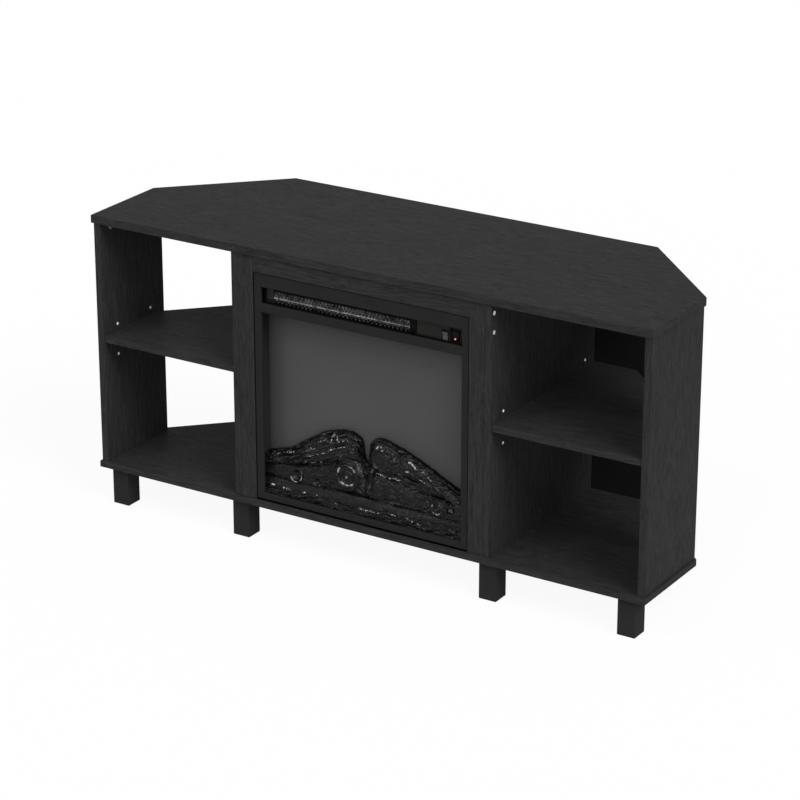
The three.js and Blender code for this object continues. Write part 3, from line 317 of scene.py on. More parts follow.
def screen_finish():
    """The satin grey sheet that the flame light plays on."""
    shader = Shader("flame_screen_finish")
    place = shader.coordinates()
    cloud = shader.noise(place, scale=7.0, detail=3.0)
    fine = shader.noise(place, scale=240.0)
    tone = shader.calc("MULTIPLY_ADD", fine, 1 - SCREEN_CLOUD_SHARE,
                       shader.calc("MULTIPLY", cloud, SCREEN_CLOUD_SHARE))
    sideways = shader.calc("ABSOLUTE", shader.calc("DIVIDE", shader.split(place, X), window_half))
    raised = shader.calc("SUBTRACT", shader.split(place, Z), window_low)
    upwards = shader.calc("DIVIDE", raised, window_high - window_low)
    # Painted shade: near the window's edges the colour falls to the edge level
    unshaded_share = shader.calc("MULTIPLY", painted_shade_fade(shader, sideways), painted_shade_fade(shader, upwards))
    low, high = (shaded(SCREEN_TINT, level) for level in SCREEN_LEVELS)
    colour = shader.mix(unshaded_share, shaded(SCREEN_TINT, SCREEN_PAINTED_SHADE_LEVEL), shader.mix(tone, low, high))
    normal = shader.bump(fine, strength=0.06, distance=0.0002)
    return shader.finish(colour, 0.5, Normal=normal, SpecularIORLevel=0.1)


# Case of the insert: satin grey in the fire chamber and black round the outlet above it; that black also
# paints the shade the bezel casts on the outlet
CHAMBER_LEVEL = 0.018
OUTLET_BLACK_AND_SHADE_LEVEL = 0.002


def case_finish():
    shader = Shader("case_finish")
    place = shader.coordinates()
    above = shader.calc("GREATER_THAN", shader.split(place, Z), window_high)
    # Near black above the window: black paint and painted shade under the bezel
    colour = shader.mix(above, grey(CHAMBER_LEVEL), grey(OUTLET_BLACK_AND_SHADE_LEVEL))
    normal = shader.bump(shader.noise(place, scale=1400.0), strength=0.15, distance=PAINT_RELIEF)
    return shader.finish(colour, 0.5, Normal=normal, SpecularIORLevel=0.02)


# Resin: each mesh carries how far a point is proud bark ("relief") and how pale it is with ash and
# painted glints, highlights painted on the ridges that face the lamps
CHAR_STOPS = [(0.08, 0.002), (0.3, 0.007), (0.5, 0.022), (0.7, 0.07)]
CHAR_TINT = (1.04, 1.0, 0.97, 1.0)
# Pale ash flecks on the ridges, which are also painted glints: highlights put into the colour
ASH_AND_GLINT_COLOUR = (0.39, 0.38, 0.365, 1.0)
ASH_AND_GLINT_GRAIN = (1.6, 0.1)
ASH_AND_GLINT_RANGE = (0.35, 0.85)
GLAZE_STOPS = [(0.3, 0.12), (0.7, 0.34)]


def resin():
    """Glazed resin bark: char in the furrows, pale ash on the ridges that also paints their glints, and a
    wet gloss.
    """
    shader = Shader("log_resin_finish")
    place = shader.coordinates()
    cloud = shader.noise(place, scale=55.0, detail=4.0, roughness=0.6)
    fine = shader.noise(place, scale=420.0, detail=3.0, roughness=0.65)
    level = shader.ramp(shader.calc("MULTIPLY", shader.attribute("relief"), cloud), CHAR_STOPS)
    char = shader.mix(1.0, level, CHAR_TINT, "MULTIPLY")
    ash_and_glint_flecks = shader.calc("MULTIPLY", shader.attribute("ash_and_glint"),
                         shader.calc("MULTIPLY_ADD", fine, ASH_AND_GLINT_GRAIN[0], ASH_AND_GLINT_GRAIN[1]))
    pale = shader.add("MapRange", i0=ash_and_glint_flecks, i1=ASH_AND_GLINT_RANGE[0], i2=ASH_AND_GLINT_RANGE[1]).outputs[0]
    colour = shader.mix(pale, char, ASH_AND_GLINT_COLOUR)
    normal = shader.bump(fine, strength=0.6, distance=0.0007)
    gloss = shader.ramp(fine, GLAZE_STOPS)
    return shader.finish(colour, gloss, Normal=normal, SpecularIORLevel=0.14)


LED_CENTRE = (1.0, 0.62, 0.56, 1.0)
LED_EDGE = (0.9, 0.05, 0.02, 1.0)
LED_LENS = (0.8, 0.03, 0.01, 1.0)


def led():
    """Lit indicator, paler where it is seen straight on."""
    shader = Shader("indicator_finish")
    facing = shader.add("LayerWeight", Blend=0.35).outputs[1]
    colour = shader.mix(facing, LED_CENTRE, LED_EDGE)
    return shader.finish(LED_LENS, 0.12, EmissionColor=colour, EmissionStrength=0.75)


def floor_finish():
    """Pale floor. To the camera it shows near white, and it keeps the object's shadow."""
    shader = Shader("floor_finish")
    mottle = shader.noise(shader.coordinates(), scale=3.0)
    colour = shader.mix(mottle, shaded(FLOOR_COLOUR, FLOOR_DIP), FLOOR_COLOUR)
    plain = shader.add("BsdfDiffuse", Color=colour).outputs[0]
    glow = shader.add("Emission", Color=WHITE, Strength=1.0).outputs[0]
    share = shader.calc("MULTIPLY", shader.seen_directly(), FLOOR_GLOW)
    return shader.show("MixShader", Fac=share, i1=plain, i2=glow)


def assign(material, *names):
    for name in names:
        slots = nodes[name].data.materials
        slots.clear()
        slots.append(material)


def named_like(*words):
    """All CAD nodes whose name holds one of the words."""
    return [name for name in nodes if any(word in name for word in words)]


for finish, axis, seed, boards in (
    ("black_wood_wide", X, 1, ("top_panel", "frame_top_rail")),
    ("black_wood_wide_low", X, 4, ("bottom_panel", "rear_stretcher")),
    ("black_wood_shelf", X, 9, ("left_shelf", "right_shelf")),
    ("black_wood_tall", Z, 2, named_like("side_panel", "divider")),
    ("black_wood_stile", Z, 7, named_like("frame_stile")),
):
    assign(black_wood(finish, axis, seed), *boards)
assign(board("back_board_finish", 0.009, roughness=0.5, specular=0.03), "back_panel")
assign(paint("leg_finish", grey(0.0175), specular=0.01, grain_scale=900.0), *named_like("_leg"))
assign(paint("bezel_finish", grey(0.0135)), "insert_bezel")
assign(case_finish(), "insert_case")
assign(paint("motor_finish", grey(0.008)), "blower_motor")
assign(paint("dark_plastic_finish", grey(0.006), 0.45, 0.04), "cord_gland", "rocker_housing")
assign(paint("grey_plastic_finish", (0.016, 0.0155, 0.015), 0.5, 0.04), "control_plate", "flame_motor")
assign(paint("end_block_finish", grey(0.02), 0.5, 0.05), "heater_left_block")
assign(paint("pale_plastic_finish", grey(0.055), 0.35, 0.15, relief=0.04), "power_rocker", "lamp_strip")
assign(paint("receiver_finish", grey(0.006), 0.3, 0.05, relief=0.05), "receiver_lens")
assign(galvanised("zinc_sheet_finish"), "insert_back_cover", "blower_housing", *named_like("insert_clip"))
assign(brushed("fittings_finish", 0.62, 0.3, axis=Y), *named_like("cam_lock", "screw", "shelf_pin"))
assign(brushed("bright_metal_finish", 0.35, 0.4, axis=X), "blower_wheel", "flame_spindle")
assign(screen_finish(), "flame_screen")
assign(led(), "led_lens")

# Finishes that pieces made below wear too
grille_paint = paint("grille_finish", grey(0.004))
rail_paint = paint("heater_rail_finish", grey(0.004))
# Near black and matte: the trim is also a painted shadow line round the bezel
trim_and_gap_shadow = paint("bezel_trim_and_gap_shadow_finish", grey(0.001), roughness=0.6, specular=0.0)
sleeve_plastic = paint("sleeve_finish", (0.8, 0.79, 0.77), roughness=0.4, specular=0.4, relief=0.04)
nail_metal = brushed("nail_finish", 0.22, roughness=0.4, axis=X)
tube_foil = tarnished("heater_tube_finish", dark=0.06, light=0.34)
fin_foil = tarnished("heater_fin_finish", dark=0.02, light=0.26)
resin_material = resin()
assign(grille_paint, "outlet_grille")
assign(rail_paint, "heater_right_block")
assign(fin_foil, "heater_core")
assign(resin_material, "ember_bed", "left_log", "right_log")


def link_new(name, data):
    item = bpy.data.objects.new(name, data)
    bpy.context.scene.collection.objects.link(item)
    return item


def join_shapes(shapes):
    vertices = []
    faces = []
    for points, polygons in shapes:
        start = len(vertices)
        vertices += points
        faces += [tuple(start + i for i in polygon) for polygon in polygons]
    return vertices, faces


def new_object(name, vertices, faces, material):
    mesh = bpy.data.meshes.new(name)
    mesh.from_pydata([tuple(vertex) for vertex in vertices], [], faces)
    mesh.validate()
    mesh.update()
    mesh.materials.append(material)
    mesh.polygons.foreach_set("use_smooth", [False] * len(mesh.polygons))
    return link_new(name, mesh)


def add_piece(name, shapes, material, slot, *replaced):
    """Make a fixed piece with its material, in place of the CAD nodes named. The slot is not used."""
    piece = new_object(name, *join_shapes(shapes), material)
    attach(piece, "root")
    if replaced:
        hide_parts(*replaced)
    return piece


def smooth_step(low, high, value):
    share = min(1.0, max(0.0, (value - low) / (high - low)))
    return share * share * (3 - 2 * share)


def blend(a, b, share):
    return a + (b - a) * share


def bell(value, width):
    return math.exp(-(value / width) ** 2)


def turn_between(a, b):
    return abs((a - b + math.pi) % (2 * math.pi) - math.pi)


def noise_at(x, z, scale, seed):
    """Noise with its own scale along and across the grain."""
    return noise.noise(Vector((x * scale[0], z * scale[1], seed)))


# Fire: logs of cast resin that stand on a bed of embers. The room for the logs is the
# case's width between its walls and the height from their seat to the window's top.
# Places on the logs are shares of that room, along from the left and up from the seat.
WALL_CLEARANCE = 0.0002
LOG_SEAT_HEIGHT = 0.0195
RELIEF_REACH = 0.0305
LEAST_REACH = 0.0012

bed_low, bed_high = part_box("ember_bed")
room_left = bed_low[X] + WALL_CLEARANCE
room_right = bed_high[X] - WALL_CLEARANCE
room_width = room_right - room_left
seat_z = bed_low[Z] + LOG_SEAT_HEIGHT
room_height = window_high - seat_z
relief_back = bed_high[Y]

# Outlines: share along, then the shares up of the log's upper and lower edge
LEFT_UPPER_SHARES = [
    (0.0, 0.19, 0.125), (0.05, 0.205, 0.13), (0.115, 0.235, 0.14), (0.165, 0.277, 0.152),
    (0.24, 0.338, 0.17), (0.29, 0.372, 0.19), (0.35, 0.393, 0.215), (0.39, 0.4, 0.23),
    (0.425, 0.394, 0.235), (0.452, 0.377, 0.225), (0.465, 0.345, 0.21), (0.472, 0.278, 0.19),
    (0.482, 0.255, 0.17), (0.5, 0.25, 0.15),
]
LEFT_LOWER_SHARES = [
    (0.0, 0.15, 0.04), (0.06, 0.155, 0.04), (0.13, 0.16, 0.035), (0.2, 0.17, 0.03),
    (0.28, 0.19, 0.03), (0.35, 0.225, 0.035), (0.41, 0.245, 0.045), (0.45, 0.24, 0.05),
    (0.48, 0.21, 0.05), (0.5, 0.18, 0.05),
]
RIGHT_UPPER_SHARES = [
    (0.503, 0.24, 0.2), (0.51, 0.35, 0.19), (0.53, 0.395, 0.2), (0.56, 0.4, 0.21),
    (0.62, 0.383, 0.212), (0.69, 0.353, 0.218), (0.76, 0.315, 0.215), (0.83, 0.272, 0.19),
    (0.89, 0.235, 0.155), (0.94, 0.208, 0.125), (1.0, 0.18, 0.095),
]
RIGHT_LOWER_SHARES = [
    (0.5, 0.18, 0.05), (0.52, 0.212, 0.045), (0.57, 0.212, 0.04), (0.64, 0.202, 0.04),
    (0.72, 0.185, 0.035), (0.8, 0.17, 0.035), (0.88, 0.165, 0.035), (0.95, 0.15, 0.035),
    (1.0, 0.13, 0.03),
]

# Knots: share along and up, radius as a share of the room's height, share of the
# relief's reach at the knot's foot, and kind
LEFT_KNOT_SHARES = [
    (0.164, 0.101, 0.038, 0.77, "ring"), (0.267, 0.093, 0.024, 0.77, "ring"),
    (0.415, 0.166, 0.07, 0.82, "swirl"),
]
RIGHT_KNOT_SHARES = [
    (0.57, 0.293, 0.042, 0.66, "hollow"), (0.844, 0.104, 0.037, 0.79, "swirl"),
    (0.908, 0.114, 0.018, 0.62, "block"), (0.524, 0.172, 0.056, 0.7, "end"),
]

# Ridges of bark with pale ash and painted glints, where the highlights fall: points, breadth as a share
# of the usual, strength
RIDGE_BREADTH = 0.002
LEFT_RIDGE_SHARES = [
    ([(0.066, 0.197), (0.09, 0.208), (0.158, 0.234)], 0.8, 0.8),
    ([(0.22, 0.228), (0.24, 0.234), (0.262, 0.248), (0.299, 0.265), (0.31, 0.273)], 0.85, 1.0),
    ([(0.324, 0.287), (0.359, 0.313), (0.385, 0.324), (0.405, 0.33)], 0.9, 1.0),
    ([(0.214, 0.282), (0.242, 0.273), (0.258, 0.285)], 1.1, 0.9),
    ([(0.273, 0.321), (0.297, 0.338), (0.306, 0.344)], 0.9, 0.8),
    ([(0.333, 0.344), (0.337, 0.372), (0.359, 0.369), (0.372, 0.349), (0.394, 0.361),
      (0.41, 0.369)], 1.35, 1.0),
    ([(0.13, 0.163), (0.169, 0.18), (0.205, 0.189)], 0.7, 0.8),
    ([(0.233, 0.189), (0.266, 0.2), (0.286, 0.208)], 0.65, 0.7),
    ([(0.368, 0.242), (0.381, 0.265), (0.39, 0.282)], 0.7, 0.7),
    ([(0.317, 0.135), (0.324, 0.101)], 0.65, 0.5),
]
RIGHT_RIDGE_SHARES = [
    ([(0.544, 0.211), (0.566, 0.208), (0.599, 0.203), (0.628, 0.203), (0.656, 0.2)], 0.9, 1.0),
    ([(0.553, 0.361), (0.564, 0.38), (0.579, 0.361), (0.588, 0.338)], 1.05, 0.9),
    ([(0.597, 0.363), (0.628, 0.349), (0.645, 0.321)], 1.0, 0.5),
    ([(0.707, 0.327), (0.723, 0.318), (0.742, 0.301)], 0.9, 1.0),
    ([(0.701, 0.279), (0.725, 0.27), (0.734, 0.259)], 0.85, 0.9),
    ([(0.747, 0.256), (0.769, 0.242), (0.795, 0.228)], 0.8, 0.8),
    ([(0.773, 0.29), (0.793, 0.273), (0.817, 0.256)], 0.8, 0.9),
    ([(0.859, 0.268), (0.877, 0.254)], 0.8, 1.0),
    ([(0.879, 0.192), (0.905, 0.183), (0.932, 0.158), (0.956, 0.135)], 1.7, 0.4),
    ([(0.518, 0.22), (0.535, 0.22)], 0.65, 0.7),
    ([(0.632, 0.163), (0.665, 0.158), (0.685, 0.135)], 0.8, 0.3),
]
# Ash on the ridges, which also paints their glints: rise, reach, least strength and how it breaks up
ASH_AND_GLINT_RIDGE_HEIGHT = 0.002
ASH_AND_GLINT_REACH = 3.0
ASH_AND_GLINT_LEAST = 0.02
ASH_AND_GLINT_COARSE = (260.0, 420.0)
ASH_AND_GLINT_FINE = (620.0, 900.0)
ASH_AND_GLINT_FINE_SHARE = 0.6
ASH_AND_GLINT_SEEDS = (3.3, 8.1)
ASH_AND_GLINT_BREAKS = (-0.12, 0.22)

LOG_COLUMN = 0.0009
LOG_ROWS = 150
LOG_TOP_CROWDING = 1.6
TOP_WAVER = 0.0016
TOP_WAVER_SCALE = 90.0
UPPER_EDGE_DEPTH = 0.0035
UPPER_CROWN = 0.0215
LOWER_EDGE_DEPTH = 0.006
LOWER_CROWN = 0.0205
LEAST_HALF_HEIGHT = 0.004
CREVICE_DEPTH = 0.013
LOG_ENDS = (-0.011, 0.002)
END_DEPTH_SHARE = 0.45
END_ROUNDING = 0.018
EDGE_SMOOTHING = 0.012

# Bark: height and scale along and across the grain of each layer
PLATE_CRACK = 0.22
PLATE_WOBBLE = 0.45
WOBBLE_SCALE = 0.8
PLATE_LEAST = 0.55
PLATE_RISE = 0.9
PLATE_SINK = 0.35
RISE_SCALE = 5.1
RISE_SEEDS = (1.7, 0.3)
LEAN_SCALE = 7.3
LEAN_SEEDS = (3.1, 5.7)
COARSE_PLATES = (0.015, 0.0055, 1.3)
FINE_PLATES = (0.0062, 0.003, 1.6)
COARSE_HEIGHT = 0.0032
FINE_HEIGHT = 0.0014
WAVE_HEIGHT = 0.0014
WAVE_SCALE = (38.0, 210.0)
FURROW_DEPTH = 0.0026
FURROW_SCALE = (14.0, 95.0)
FURROW_WIDTH = 0.16
CALM_SCALE = (17.0, 30.0)
CALM_RANGE = (-0.3, 0.2)
CALM_STRENGTH = 0.35
LOWER_STRENGTHS = (0.3, 0.75)
LOWER_STRENGTH_RANGE = (-0.17, -0.11)
# Painted shade: the char of the lower logs is darker, where the upper logs shade them
LOWER_LOG_PAINTED_SHADE = 0.78
BARK_SHADE_HEIGHT = 0.004
KNOT_CALM = 0.85
# Steps between the noises' seeds, so that no two layers are alike
LOWER_STEP = 5.0
FINE_STEP = 11.0
FURROW_STEP = 2.0
CALM_STEP = 8.0


def outline_at(shares, along, column):
    """Smooth curve through one column of an outline."""
    last = len(shares) - 1
    index = 0
    while index < last - 1 and along > shares[index + 1][0]:
        index += 1
    before, start, end, after = (shares[min(last, max(0, index + k))] for k in (-1, 0, 1, 2))
    span = end[0] - start[0]
    t = min(1.0, max(0.0, (along - start[0]) / span))
    steep = abs(end[column] - start[column]) * 3
    slopes = []
    for low, high in ((before, end), (start, after)):
        slope = (high[column] - low[column]) / (high[0] - low[0]) * span
        slopes.append(min(steep, max(-steep, slope)))
    bend_in = t * (1 - t) ** 2 * slopes[0]
    bend_out = t ** 2 * (t - 1) * slopes[1]
    return blend(start[column], end[column], smooth_step(0.0, 1.0, t)) + bend_in + bend_out


def plates(along, across, pattern, seed):
    """Broken plates of char: each has its own height and lean, with a crack round it."""
    cell_along, cell_across, tilt = pattern
    place = Vector((along / cell_along, across / cell_across, seed))
    place = place + noise.noise_vector(place * WOBBLE_SCALE) * PLATE_WOBBLE
    distances, points = noise.voronoi(place)
    crack = smooth_step(0.0, PLATE_CRACK, distances[1] - distances[0])
    centre = points[0]
    lean = noise.cell_vector(centre * LEAN_SCALE + Vector((seed, *LEAN_SEEDS)))
    rise = noise.cell(centre * RISE_SCALE + Vector((RISE_SEEDS[0], seed, RISE_SEEDS[1])))
    offset = place - centre
    slope = (lean[0] - 0.5) * offset[0] + (lean[1] - 0.5) * offset[1]
    return crack * (PLATE_LEAST + PLATE_RISE * rise + 2 * tilt * slope) - PLATE_SINK, crack


# Knots: distances from a knot's middle are shares of its radius
KNOT_REACH = 1.45
KNOT_FADE = (1.0, 1.4)
BLOCK_RISE = 0.0045
BLOCK_ASH_AND_GLINT = 0.45
BLOCK_SQUASH = 1.5
BLOCK_SLOPE = (0.72, 0.95)
BLOCK_FADE = (1.0, 1.3)
HOLLOW_SINK = 0.004
HOLLOW_FLOOR = 0.002
HOLLOW_SLOPE = (0.2, 1.2)
# Knots with a dish in a raised rim: height of the rim, depth of the dish, where the dish
# slopes, sink of the whole, whether the rim fades on one side, and how pale it is with ash and painted
# glint
RIMMED_KNOTS = {
    "ring": (0.005, 0.004, (0.25, 0.85), 0.0012, True, 1.0),
    "end": (0.0042, 0.003, (0.3, 0.9), 0.0, False, 0.4),
}
END_BREADTH_SHARE = 0.42
SWIRL_TURNS = 3.4
SWIRL_WAVER = 0.5
SWIRL_WAVER_SCALE = (2.0, 2.0)
SWIRL_SEED_STEP = 90.0
SWIRL_RIDGE = 0.003
SWIRL_CONE = 0.0035
SWIRL_SINK = 0.0015
# Arcs, heart and windings of a swirl knot carry ash that is also a painted glint
SWIRL_ARCS = [math.radians(angle) for angle in (52, 150, 235, 270, 305)]
ARC_SPREAD = 0.38
ARC_AT = 0.8
ARC_LIFT = 0.12
ARC_BREADTH = 0.09
HEART_ASH_AND_GLINT = 0.75
HEART_BREADTH = 0.16
WINDING_ASH_AND_GLINT = 0.6
WINDING_CREST = (0.8, 1.0)
WINDING_START = (0.3, 0.5)
RIM_AT = 0.93
RIM_BREADTH = 0.14
RIM_ASH_AND_GLINT_BREADTH = 0.08
# Rims are raised and pale on the side towards this angle; the paleness is a painted highlight where the
# light falls
OPEN_TOWARDS = math.radians(120)
OPEN_LEAST = 0.25
OPEN_RANGE = (-0.8, 0.2)
FLICKER_RANGE = (-0.2, 0.25)
FLICKER_SCALE = (2.2, 5.0)
FLICKER_SEED_STEP = 70.0


def block_knot(dx, dz, ground):
    square = max(abs(dx), abs(dz) * BLOCK_SQUASH)
    raised = 1 - smooth_step(*BLOCK_SLOPE, square)
    return ground + BLOCK_RISE * raised, 1 - smooth_step(*BLOCK_FADE, square), BLOCK_ASH_AND_GLINT * raised


def swirl_knot(dx, dz, ground, seed, rim, flicker):
    """A knot whose bark winds in to a pale heart, with ash and painted glints on the heart and a few
    arcs.
    """
    reach = math.hypot(dx, dz)
    angle = math.atan2(dz, dx)
    waver = noise_at(dx, dz, SWIRL_WAVER_SCALE, seed * SWIRL_SEED_STEP)
    turns = reach * SWIRL_TURNS + angle / (2 * math.pi) + SWIRL_WAVER * waver
    ridge = 1 - abs(2 * (turns % 1.0) - 1)
    arcs = max(bell(turn_between(angle, arc), ARC_SPREAD) for arc in SWIRL_ARCS)
    line = bell(reach - ARC_AT - ARC_LIFT * math.sin(angle), ARC_BREADTH)
    winding = smooth_step(*WINDING_CREST, ridge) * flicker * smooth_step(*WINDING_START, reach)
    height = SWIRL_CONE * (1 - reach) + SWIRL_RIDGE * (ridge * ridge + rim) - SWIRL_SINK
    ash_and_glint = max(arcs * line, HEART_ASH_AND_GLINT * bell(reach, HEART_BREADTH), WINDING_ASH_AND_GLINT * winding)
    return ground + height, ash_and_glint


def knot_height(x, z, knot):
    """Height, weight and ash with painted glint that a knot gives at one point."""
    along, up, radius_share, ground_share, kind = knot
    knot_x = blend(room_left, room_right, along)
    radius = radius_share * room_height
    ground = ground_share * RELIEF_REACH
    dx = (x - knot_x) / radius / (END_BREADTH_SHARE if kind == "end" else 1.0)
    dz = (z - blend(seat_z, window_high, up)) / radius
    reach = math.hypot(dx, dz)
    if reach > KNOT_REACH:
        return 0.0, 0.0, 0.0
    if kind == "block":
        return block_knot(dx, dz, ground)
    weight = 1 - smooth_step(*KNOT_FADE, reach)
    if kind == "hollow":
        return ground - HOLLOW_SINK + HOLLOW_FLOOR * smooth_step(*HOLLOW_SLOPE, reach), weight, 0.0
    angle = math.atan2(dz, dx)
    open_side = blend(OPEN_LEAST, 1.0, smooth_step(*OPEN_RANGE, -math.cos(angle - OPEN_TOWARDS)))
    uneven = noise_at(angle, reach, FLICKER_SCALE, knot_x * FLICKER_SEED_STEP)
    flicker = smooth_step(*FLICKER_RANGE, uneven)
    rim = bell(reach - RIM_AT, RIM_BREADTH)
    pale = bell(reach - RIM_AT, RIM_ASH_AND_GLINT_BREADTH) * open_side * flicker
    if kind in RIMMED_KNOTS:
        rim_height, dish_depth, slope, sink, fades, ash_and_glint = RIMMED_KNOTS[kind]
        dish = dish_depth * (1 - smooth_step(*slope, reach))
        raised = rim_height * rim * (open_side if fades else 1.0)
        return ground - sink - dish + raised, weight, ash_and_glint * pale
    height, pale = swirl_knot(dx, dz, ground, knot_x, rim * open_side, flicker)
    return height, weight, pale


def ridge_ash_and_glint(x, z, ridges):
    """How strongly a point lies on one of the broken ridges of ash and painted glint."""
    best = 0.0
    for points, breadth, strength in ridges:
        limit = breadth * ASH_AND_GLINT_REACH
        if x < points[0][0] - limit or x > points[-1][0] + limit:
            continue
        for (ax, az), (bx, bz) in zip(points, points[1:]):
            length = (bx - ax) ** 2 + (bz - az) ** 2
            share = min(1.0, max(0.0, ((x - ax) * (bx - ax) + (z - az) * (bz - az)) / length))
            away = math.hypot(x - blend(ax, bx, share), z - blend(az, bz, share))
            if away < limit:
                best = max(best, strength * bell(away, breadth))
    if best > ASH_AND_GLINT_LEAST:
        coarse_seed, fine_seed = ASH_AND_GLINT_SEEDS
        fine = noise_at(x, z, ASH_AND_GLINT_FINE, fine_seed)
        broken = noise_at(x, z, ASH_AND_GLINT_COARSE, coarse_seed) + ASH_AND_GLINT_FINE_SHARE * fine
        best *= smooth_step(*ASH_AND_GLINT_BREAKS, broken)
    return best


def placed_ridges(ridges, low_z, high_z):
    """Ridges with their shares turned into metres."""
    placed = []
    for points, breadth, strength in ridges:
        line = [(blend(room_left, room_right, along), blend(low_z, high_z, up)) for along, up in points]
        placed.append((line, breadth * RIDGE_BREADTH, strength))
    return placed


def crown(z, along, shares, edge_depth, crown_depth):
    """Depth of a rounded log at one point, and how far the point is from its axis."""
    low_z, high_z = (blend(seat_z, window_high, outline_at(shares, along, column)) for column in (2, 1))
    half = max(LEAST_HALF_HEIGHT, (high_z - low_z) / 2)
    away = z - (low_z + high_z) / 2
    if abs(away) >= half:
        return 0.0, away
    return edge_depth + crown_depth * math.sqrt(1 - (away / half) ** 2), away


def log_relief(x, z, log, ridges):
    """Forward reach of the relief at one point, how proud its bark is, and its ash with painted glint."""
    upper, lower, knots, seed = log
    along = (x - room_left) / room_width
    depth_up, away_up = crown(z, along, upper, UPPER_EDGE_DEPTH, UPPER_CROWN)
    depth_low, away_low = crown(z, along, lower, LOWER_EDGE_DEPTH, LOWER_CROWN)
    to_end = min(abs(x - end) for end in LOG_ENDS)
    depth_up *= blend(END_DEPTH_SHARE, 1.0, smooth_step(0.0, END_ROUNDING, to_end))
    is_low = depth_low > depth_up
    depth = max(depth_up, depth_low, CREVICE_DEPTH)
    across = away_low if is_low else away_up
    layer = seed + (LOWER_STEP if is_low else 0.0)
    coarse, crack = plates(x, across, COARSE_PLATES, layer)
    fine, _ = plates(x, across, FINE_PLATES, layer + FINE_STEP)
    wave = noise_at(x, across, WAVE_SCALE, layer)
    from_furrow = abs(noise_at(x, across, FURROW_SCALE, layer + FURROW_STEP))
    furrow = 1 - smooth_step(0.0, FURROW_WIDTH, from_furrow)
    rough = smooth_step(*CALM_RANGE, noise_at(x, across, CALM_SCALE, layer + CALM_STEP))
    strength = blend(CALM_STRENGTH, 1.0, rough)
    if is_low:
        strength *= blend(*LOWER_STRENGTHS, smooth_step(*LOWER_STRENGTH_RANGE, x))
    height = COARSE_HEIGHT * coarse + FINE_HEIGHT * fine + WAVE_HEIGHT * wave
    bark = strength * (height - FURROW_DEPTH * furrow)
    ash_and_glint = ridge_ash_and_glint(x, z, ridges)
    bark += ASH_AND_GLINT_RIDGE_HEIGHT * ash_and_glint
    for knot in knots:
        height, weight, rim = knot_height(x, z, knot)
        ash_and_glint = max(ash_and_glint * (1 - weight), rim * weight)
        depth = blend(depth, height, weight)
        bark *= 1 - KNOT_CALM * weight
    reach = depth + bark * smooth_step(0.0, EDGE_SMOOTHING, depth)
    relief = min(1.0, max(0.0, 0.5 + bark / BARK_SHADE_HEIGHT)) * crack * (LOWER_LOG_PAINTED_SHADE if is_low else 1.0)
    return min(RELIEF_REACH, max(LEAST_REACH, reach)), relief, ash_and_glint


def sheet_faces(columns, rows):
    """Faces of a grid whose points run up each column in turn."""
    faces = []
    for i in range(columns):
        for j in range(rows):
            a = i * (rows + 1) + j
            faces.append((a, a + rows + 1, a + rows + 2, a + 1))
    return faces


def add_resin(name, node, points, faces):
    """Make a piece of resin from its points, each with its relief and its ash with painted glint."""
    vertices, relief, ash_and_glint = zip(*points)
    mesh = add_piece(name, [(vertices, faces)], resin_material, "log_resin", node).data
    mesh.polygons.foreach_set("use_smooth", [True] * len(mesh.polygons))
    for label, values in (("relief", relief), ("ash_and_glint", ash_and_glint)):
        mesh.attributes.new(label, "FLOAT", "POINT").data.foreach_set("value", values)


def make_log(name, node, log, ridge_shares, x0, x1):
    upper, lower, _, seed = log
    ridges = placed_ridges(ridge_shares, seat_z, window_high)
    columns = round((x1 - x0) / LOG_COLUMN)
    points = []
    for i in range(columns + 1):
        x = blend(x0, x1, i / columns)
        along = (x - room_left) / room_width
        top = max(outline_at(upper, along, 1), outline_at(lower, along, 1))
        top_z = blend(seat_z, window_high, top)
        top_z += TOP_WAVER * noise.noise(Vector((x * TOP_WAVER_SCALE, seed, 0)))
        for j in range(LOG_ROWS + 1):
            z = blend(seat_z, top_z, 1 - (1 - j / LOG_ROWS) ** LOG_TOP_CROWDING)
            reach, level, pale = log_relief(x, z, log, ridges)
            points.append(((x, relief_back - reach, z), level, pale))
    faces = sheet_faces(columns, LOG_ROWS)
    rows = LOG_ROWS + 1
    border = [i * rows for i in range(columns + 1)]
    border += [columns * rows + j for j in range(1, rows)]
    border += [i * rows + LOG_ROWS for i in range(columns - 1, -1, -1)]
    border += [j for j in range(LOG_ROWS - 1, 0, -1)]
    first = len(points)
    count = len(border)
    for index in border:
        x, _, z = points[index][0]
        points.append(((x, relief_back, z), 0.0, 0.0))
    for k in range(count):
        after = (k + 1) % count
        faces.append((border[k], first + k, first + after, border[after]))
    high_start = first + 2 * columns + LOG_ROWS
    for i in range(columns):
        faces.append((first + i, high_start - i, high_start - i - 1, first + i + 1))
    add_resin(name, node, points, faces)


# Ember bed: broken embers along its front, then a smooth slope up to the logs.
# Each point of its section: share of the depth from the back, the level it is measured
# from, its rise from there as a share of the crest, and how rough the bed is there.
BED_COLUMNS = 560
BED_LIPS = (0.0265, 0.036)
BED_CREST = 0.0135
BED_TOP = 0.042
BED_TOP_SHARE = 0.6
BED_SECTION_SHARES = [
    (0.0, "floor", 0.0, 0.0), (1.0, "floor", 0.0, 0.0), (1.0, "lip", -0.89, 1.0),
    (0.98, "lip", -0.44, 1.0), (0.93, "lip", -0.11, 0.9), (0.88, "lip", -0.04, 0.3),
    (0.82, "lip", 0.22, 0.1), (0.72, "top", -0.3, 0.1), (0.63, "top", -0.09, 0.1),
    (0.52, "top", 0.0, 0.1), (0.4, "top", -0.22, 0.2), (0.28, "seat", 0.0, 0.1),
    (0.0, "seat", 0.0, 0.0),
]
